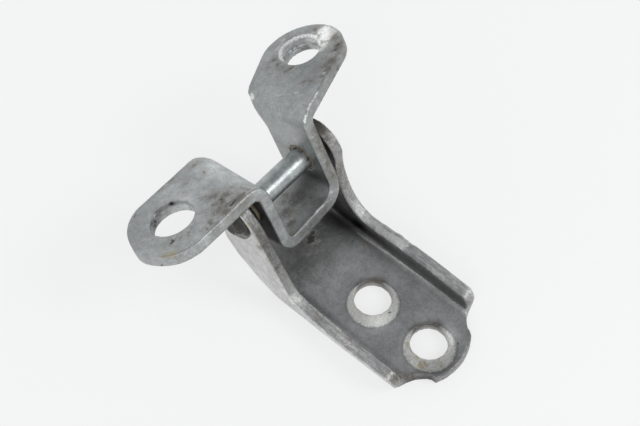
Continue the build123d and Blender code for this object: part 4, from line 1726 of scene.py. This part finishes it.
def eased(profile: Sequence[tuple[float, float]], ease: float, closed: bool) -> list[tuple[float, float]]:
    """Replaces every corner of a profile by a small round of four places.

    Args:
        profile: The profile's corners.
        ease: How far along each run a round starts.
        closed: Whether its end joins its start.

    Returns:
        The eased profile.
    """
    count = len(profile)
    points = [np.array(p, float) for p in profile]
    made: list[tuple[float, float]] = []
    for index, point in enumerate(points):
        if not closed and index in (0, count - 1):
            made.append(tuple(point))
            continue
        back = points[index - 1] - point
        ahead = points[(index + 1) % count] - point
        reach = min(ease, np.linalg.norm(back) * 0.45, np.linalg.norm(ahead) * 0.45)
        start = point + back / np.linalg.norm(back) * reach
        end = point + ahead / np.linalg.norm(ahead) * reach
        for share in (0.0, 1.0 / 3.0, 2.0 / 3.0, 1.0):
            place = start * (1 - share) ** 2 + point * 2 * share * (1 - share) + end * share**2
            made.append((float(place[0]), float(place[1])))
    return made


def divided(profile: Sequence[tuple[float, float]], step: float, closed: bool) -> list[tuple[float, float]]:
    """Divides a profile's long runs, so that wear has places to sit.

    Args:
        profile: The profile's corners.
        step: Length of a run after that.
        closed: Whether its end joins its start.

    Returns:
        The divided profile.
    """
    made: list[tuple[float, float]] = []
    ends = list(profile[1:]) + ([profile[0]] if closed else [])
    for start, end in zip(profile, ends):
        parts = max(1, int(math.dist(start, end) / step))
        for part in range(parts):
            share = part / parts
            made.append((start[0] + (end[0] - start[0]) * share, start[1] + (end[1] - start[1]) * share))
    if not closed:
        made.append(profile[-1])
    return made


@dataclass
class HingePin:
    """The pin through both ears: formed head at the left, riveted tail at the right."""

    effects: Effects
    left_ear: float = -21.1
    right_ear: float = 20.5
    shank: float = 4.0
    head_radius: float = 6.8
    head: float = 1.0
    boss_radius: float = 4.8
    boss: float = 1.4
    tail_radius: float = 4.8
    tail: float = 1.6
    ease: float = 0.35
    sides: int = 96
    collar: float = 9.1
    # The three marks on the head are painted light on its rim's lower edge; the two at the right end are
    # olive grime.
    olive: tuple[Mark, ...] = in_row(
        (-22.2, 50.5, 29.6, 1.6, 0.9, -22.2, 54.5, 30.0), (-22.0, 47.8, 31.0, 1.3, 0.8),
        (-22.9, 55.5, 33.0, 1.5, 0.6), (9.9, 53.0, 40.0, 0.9, 0.7), (9.8, 50.2, 39.6, 0.7, 0.7))

    def profile(self) -> list[tuple[float, float]]:
        """Outline of half the pin.

        Returns:
            Places along the pin and radii.
        """
        outer = self.left_ear - self.head - self.boss
        ring = self.left_ear - self.head
        end = self.right_ear + self.tail
        corners = [(outer + 0.25, 0.0), (outer + 0.25, 1.6), (outer, 3.2), (outer, self.shank),
                   (ring, self.boss_radius), (ring, self.head_radius), (self.left_ear, self.head_radius),
                   (self.left_ear, self.shank), (self.right_ear, self.shank),
                   (self.right_ear, self.tail_radius), (end - 0.7, self.tail_radius - 0.2),
                   (end, self.shank - 0.2), (end, 2.2), (end - 0.3, 1.2), (end - 0.3, 0.0)]
        return divided(eased(corners, self.ease, False), 0.5, False)

    def build(self, finish: TurnedMetal, tree: TurnedTree) -> bpy.types.Object:
        """Makes the pin.

        Args:
            finish: Its finish.
            tree: The turning tree.

        Returns:
            The piece, which stands for the CAD node.
        """
        material = finish.material(self.effects)
        mesh = tree.turn(self.profile(), self.sides, material)
        points, normals = mesh_arrays(mesh)
        points += normals * (cloud(points, 3.0, 31) * 0.02)[:, None]
        points = keep_inside(points, "hinge_pin")
        x, from_axis, below = points[:, 0], points[:, 1] - PIN_AXIS[1], PIN_AXIS[2] - points[:, 2]
        grit = 0.5 * cloud(points, 1.4, 33)
        along = np.abs(x) + 0.4 * (x > 0.0)
        collar = smoothstep(self.collar, self.collar + 1.1, along) * (0.5 + 1.4 * grit)
        # Painted light: the head's lower edge, where it catches the light, is left less sooty and painted
        # olive.
        lit = smoothstep(0.5, 5.5, 0.85 * below - 0.5 * from_axis)
        is_head = x < self.left_ear + 0.3
        head = 0.95 + 0.1 * smoothstep(4.2, 5.4, np.hypot(from_axis, below)) + grit * 0.3 - 0.45 * lit
        tail = (x > self.right_ear - 0.3) * (0.55 + grit)
        soot = np.where(np.abs(x) < self.right_ear - 0.3, collar, is_head * head + tail)
        store_layer(mesh, Layer.SOOT, soot)
        store_layer(mesh, Layer.OCHRE, np.maximum(mark_layer(points, self.olive), 0.6 * lit * is_head))
        piece = finish_piece("hinge_pin_turned", mesh, points, material, Body.BASE)
        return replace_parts(piece, "hinge_pin")


@dataclass
class LegBush:
    """A flanged sleeve in one leg of the wing bracket."""

    effects: Effects
    side: float
    node: str
    bore: float = 4.05
    outer: float = 5.05
    flange_radius: float = 5.6
    flange: float = 1.2
    ease: float = 0.2
    sides: int = 72

    def profile(self) -> list[tuple[float, float]]:
        """Outline of the sleeve's wall, ending where it starts.

        Returns:
            Places along the pin and radii.
        """
        foot = LEG_INSIDE + SHEET
        corners = [(LEG_INSIDE, self.bore), (LEG_INSIDE, self.outer), (foot, self.outer),
                   (foot, self.flange_radius), (foot + self.flange, self.flange_radius),
                   (foot + self.flange, self.bore)]
        line = divided(eased([(self.side * x, r) for x, r in corners], self.ease, True), 0.5, True)
        return line + [line[0]]

    def build(self, finish: TurnedMetal, tree: TurnedTree) -> bpy.types.Object:
        """Makes the bush.

        Args:
            finish: Its finish.
            tree: The turning tree.

        Returns:
            The piece, which stands for the CAD node.
        """
        material = finish.material(self.effects)
        mesh = tree.turn(self.profile(), self.sides, material)
        points, _ = mesh_arrays(mesh)
        points = keep_inside(points, self.node)
        store_layer(mesh, Layer.SOOT, 0.42 + 0.3 * cloud(points, 2.4, 41))
        store_layer(mesh, Layer.OCHRE, 0.6 + 0.25 * cloud(points, 1.8, 43))
        piece = finish_piece(f"{self.node}_turned", mesh, points, material, Body.WING)
        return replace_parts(piece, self.node)


@dataclass
class Studio:
    """Camera, soft light and pale floor."""

    focal_px: float = 1438.0
    place: Place = (-0.16594, -0.12219, 0.42768)
    right: Place = (0.6674, -0.7445, -0.0155)
    up: Place = (0.6495, 0.5718, 0.5012)
    back: Place = (-0.3643, -0.3445, 0.8652)
    sensor: float = 36.0
    aim: Place = (0.0, 0.03, 0.02)
    white: float = 0.955
    glow_share: float = 0.72
    table_reach: float = 6.0

    def camera(self) -> None:
        """Places the camera as the photograph's stood."""
        lens = bpy.data.cameras.new("camera")
        lens.sensor_fit = "HORIZONTAL"
        lens.sensor_width = self.sensor
        lens.lens = self.focal_px * self.sensor / PHOTO_WIDTH
        lens.clip_start = 0.01
        lens.clip_end = 30.0
        eye = bpy.data.objects.new("camera", lens)
        bpy.context.scene.collection.objects.link(eye)
        turn = Matrix((self.right, self.up, self.back)).transposed().to_4x4()
        eye.matrix_world = Matrix.Translation(Vector(self.place)) @ turn
        bpy.context.scene.camera = eye

    def lamp(self, name: str, place: Sequence[float], size: float, power: float) -> None:
        """Adds a soft square lamp that faces the object.

        Args:
            name: The lamp's name.
            place: Where it stands, in metres.
            size: Its side, in metres.
            power: Its power, in watts.
        """
        light = bpy.data.lights.new(name, "AREA")
        light.size = size
        light.energy = power
        holder = bpy.data.objects.new(name, light)
        bpy.context.scene.collection.objects.link(holder)
        holder.location = place
        aim = Vector(self.aim) - Vector(place)
        holder.rotation_mode = "QUATERNION"
        holder.rotation_quaternion = aim.to_track_quat("-Z", "Y")

    def lights(self) -> None:
        """Adds the lamps."""
        self.lamp("left_box", (-1.1, -0.5, 1.0), 0.9, 5.0)
        self.lamp("front_box", (0.5, -0.78, 1.02), 0.6, 5.0)

    def world(self) -> None:
        """A pale room: white round the horizon and far up behind the hinge, greyer overhead."""
        room = bpy.data.worlds.new("room")
        room.use_nodes = True
        bpy.context.scene.world = room
        sheet = NodeSheet(room.node_tree)
        room.node_tree.nodes.clear()
        where = sheet.node("ShaderNodeTexCoord").outputs["Generated"]
        ways = sheet.node("ShaderNodeSeparateXYZ", inputs={"Vector": where}).outputs
        wall = 0.4
        behind = sheet.math("SUBTRACT", sheet.math("MAXIMUM", ways[1], wall), wall)
        behind = sheet.times(behind, 0.75)
        rise = sheet.ramp(sheet.math("SUBTRACT", ways[2], behind), 0.1, 0.75)
        tone = sheet.mix(rise, rgba(0.93, 0.94, 0.95), rgba(0.5, 0.51, 0.53))
        sky = sheet.node("ShaderNodeBackground", inputs={"Color": tone, "Strength": 1.0})
        output = sheet.node("ShaderNodeOutputWorld")
        sheet.feed(output.inputs["Surface"], sky.outputs[0])

    def floor(self) -> None:
        """A wide pale table top, mostly lit from itself for the eye, so that shadows stay faint."""
        made = bpy.data.materials.new("table_top")
        made.use_nodes = True
        made.node_tree.nodes.clear()
        sheet = NodeSheet(made.node_tree)
        where = sheet.node("ShaderNodeTexCoord").outputs["Object"]
        tone = sheet.ramp(sheet.noise(where, 3.0, 2.0), 0.2, 0.8)
        colour = sheet.mix(tone, rgba(0.86, 0.87, 0.87), rgba(0.90, 0.91, 0.90))
        matt = sheet.node("ShaderNodeBsdfDiffuse", inputs={"Color": colour})
        glow = sheet.node("ShaderNodeEmission", inputs={"Color": rgba(self.white, self.white, self.white)})
        path = sheet.node("ShaderNodeLightPath")
        seen = sheet.math("MAXIMUM", path.outputs["Is Camera Ray"], path.outputs["Is Glossy Ray"])
        seen = sheet.math("MAXIMUM", seen, path.outputs["Is Transmission Ray"])
        share = sheet.times(seen, self.glow_share)
        both = sheet.node("ShaderNodeMixShader", inputs={"Fac": share})
        sheet.feed(both.inputs[1], matt.outputs[0])
        sheet.feed(both.inputs[2], glow.outputs[0])
        output = sheet.node("ShaderNodeOutputMaterial")
        sheet.feed(output.inputs["Surface"], both.outputs[0])
        mesh = bpy.data.meshes.new("table_top")
        reach = self.table_reach
        mesh.from_pydata([(-reach, -reach, 0), (reach, -reach, 0), (reach, reach, 0), (-reach, reach, 0)],
                         [], [(0, 1, 2, 3)])
        mesh.materials.append(made)
        top = bpy.data.objects.new("table_top", mesh)
        bpy.context.scene.collection.objects.link(top)


def main() -> None:
    """Builds the hinge and its studio, and reports each piece."""
    logging.basicConfig(level=logging.INFO, format="%(message)s")
    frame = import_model()
    bpy.context.scene.view_settings.view_transform = "Standard"
    studio = Studio()
    studio.camera()
    studio.lights()
    studio.world()
    studio.floor()
    effects = Effects()
    base_finish = CoatedSteel("base_coated_steel", rgba(0.27, 0.27, 0.267), rgba(0.365, 0.367, 0.363),
                              rgba(0.44, 0.44, 0.425))
    wing_finish = CoatedSteel("wing_coated_steel", rgba(0.285, 0.298, 0.296), rgba(0.42, 0.436, 0.434),
                              rgba(0.47, 0.485, 0.48), bare=rgba(0.86, 0.87, 0.85), worn=rgba(0.5, 0.5, 0.48),
                              rim_wear=0.4, rim_dirt=0.3, streak=(0.4, 0.8, 0.5))
    pin_finish = TurnedMetal("pin_zinc", rgba(0.29, 0.31, 0.307), rgba(0.45, 0.478, 0.475),
                             rgba(0.024, 0.020, 0.014), 0.36)
    bush_finish = TurnedMetal("bush_bronze", rgba(0.2, 0.16, 0.1), rgba(0.36, 0.3, 0.2),
                              rgba(0.02, 0.018, 0.014), 0.42)
    crumbs = CrumbTree()
    turning = TurnedTree()
    base = BaseBracket(frame, effects)
    wing = WingBracket(frame, effects)
    base_piece = base.build(base_finish)
    wing_piece = wing.build(wing_finish)
    pieces = [
        base_piece,
        wing_piece,
        HingePin(effects).build(pin_finish, turning),
        LegBush(effects, -1.0, "left_bush").build(bush_finish, turning),
        LegBush(effects, 1.0, "right_bush").build(bush_finish, turning),
        base.crumbs(base_piece, crumbs, Body.BASE, Slot.BASE, "base_bracket"),
        wing.crumbs(wing_piece, crumbs, Body.WING, Slot.WING, "wing_bracket"),
    ]
    for piece in pieces:
        log.info("%s: %d faces", piece.name, len(piece.data.polygons))


if __name__ == "__main__":
    main()
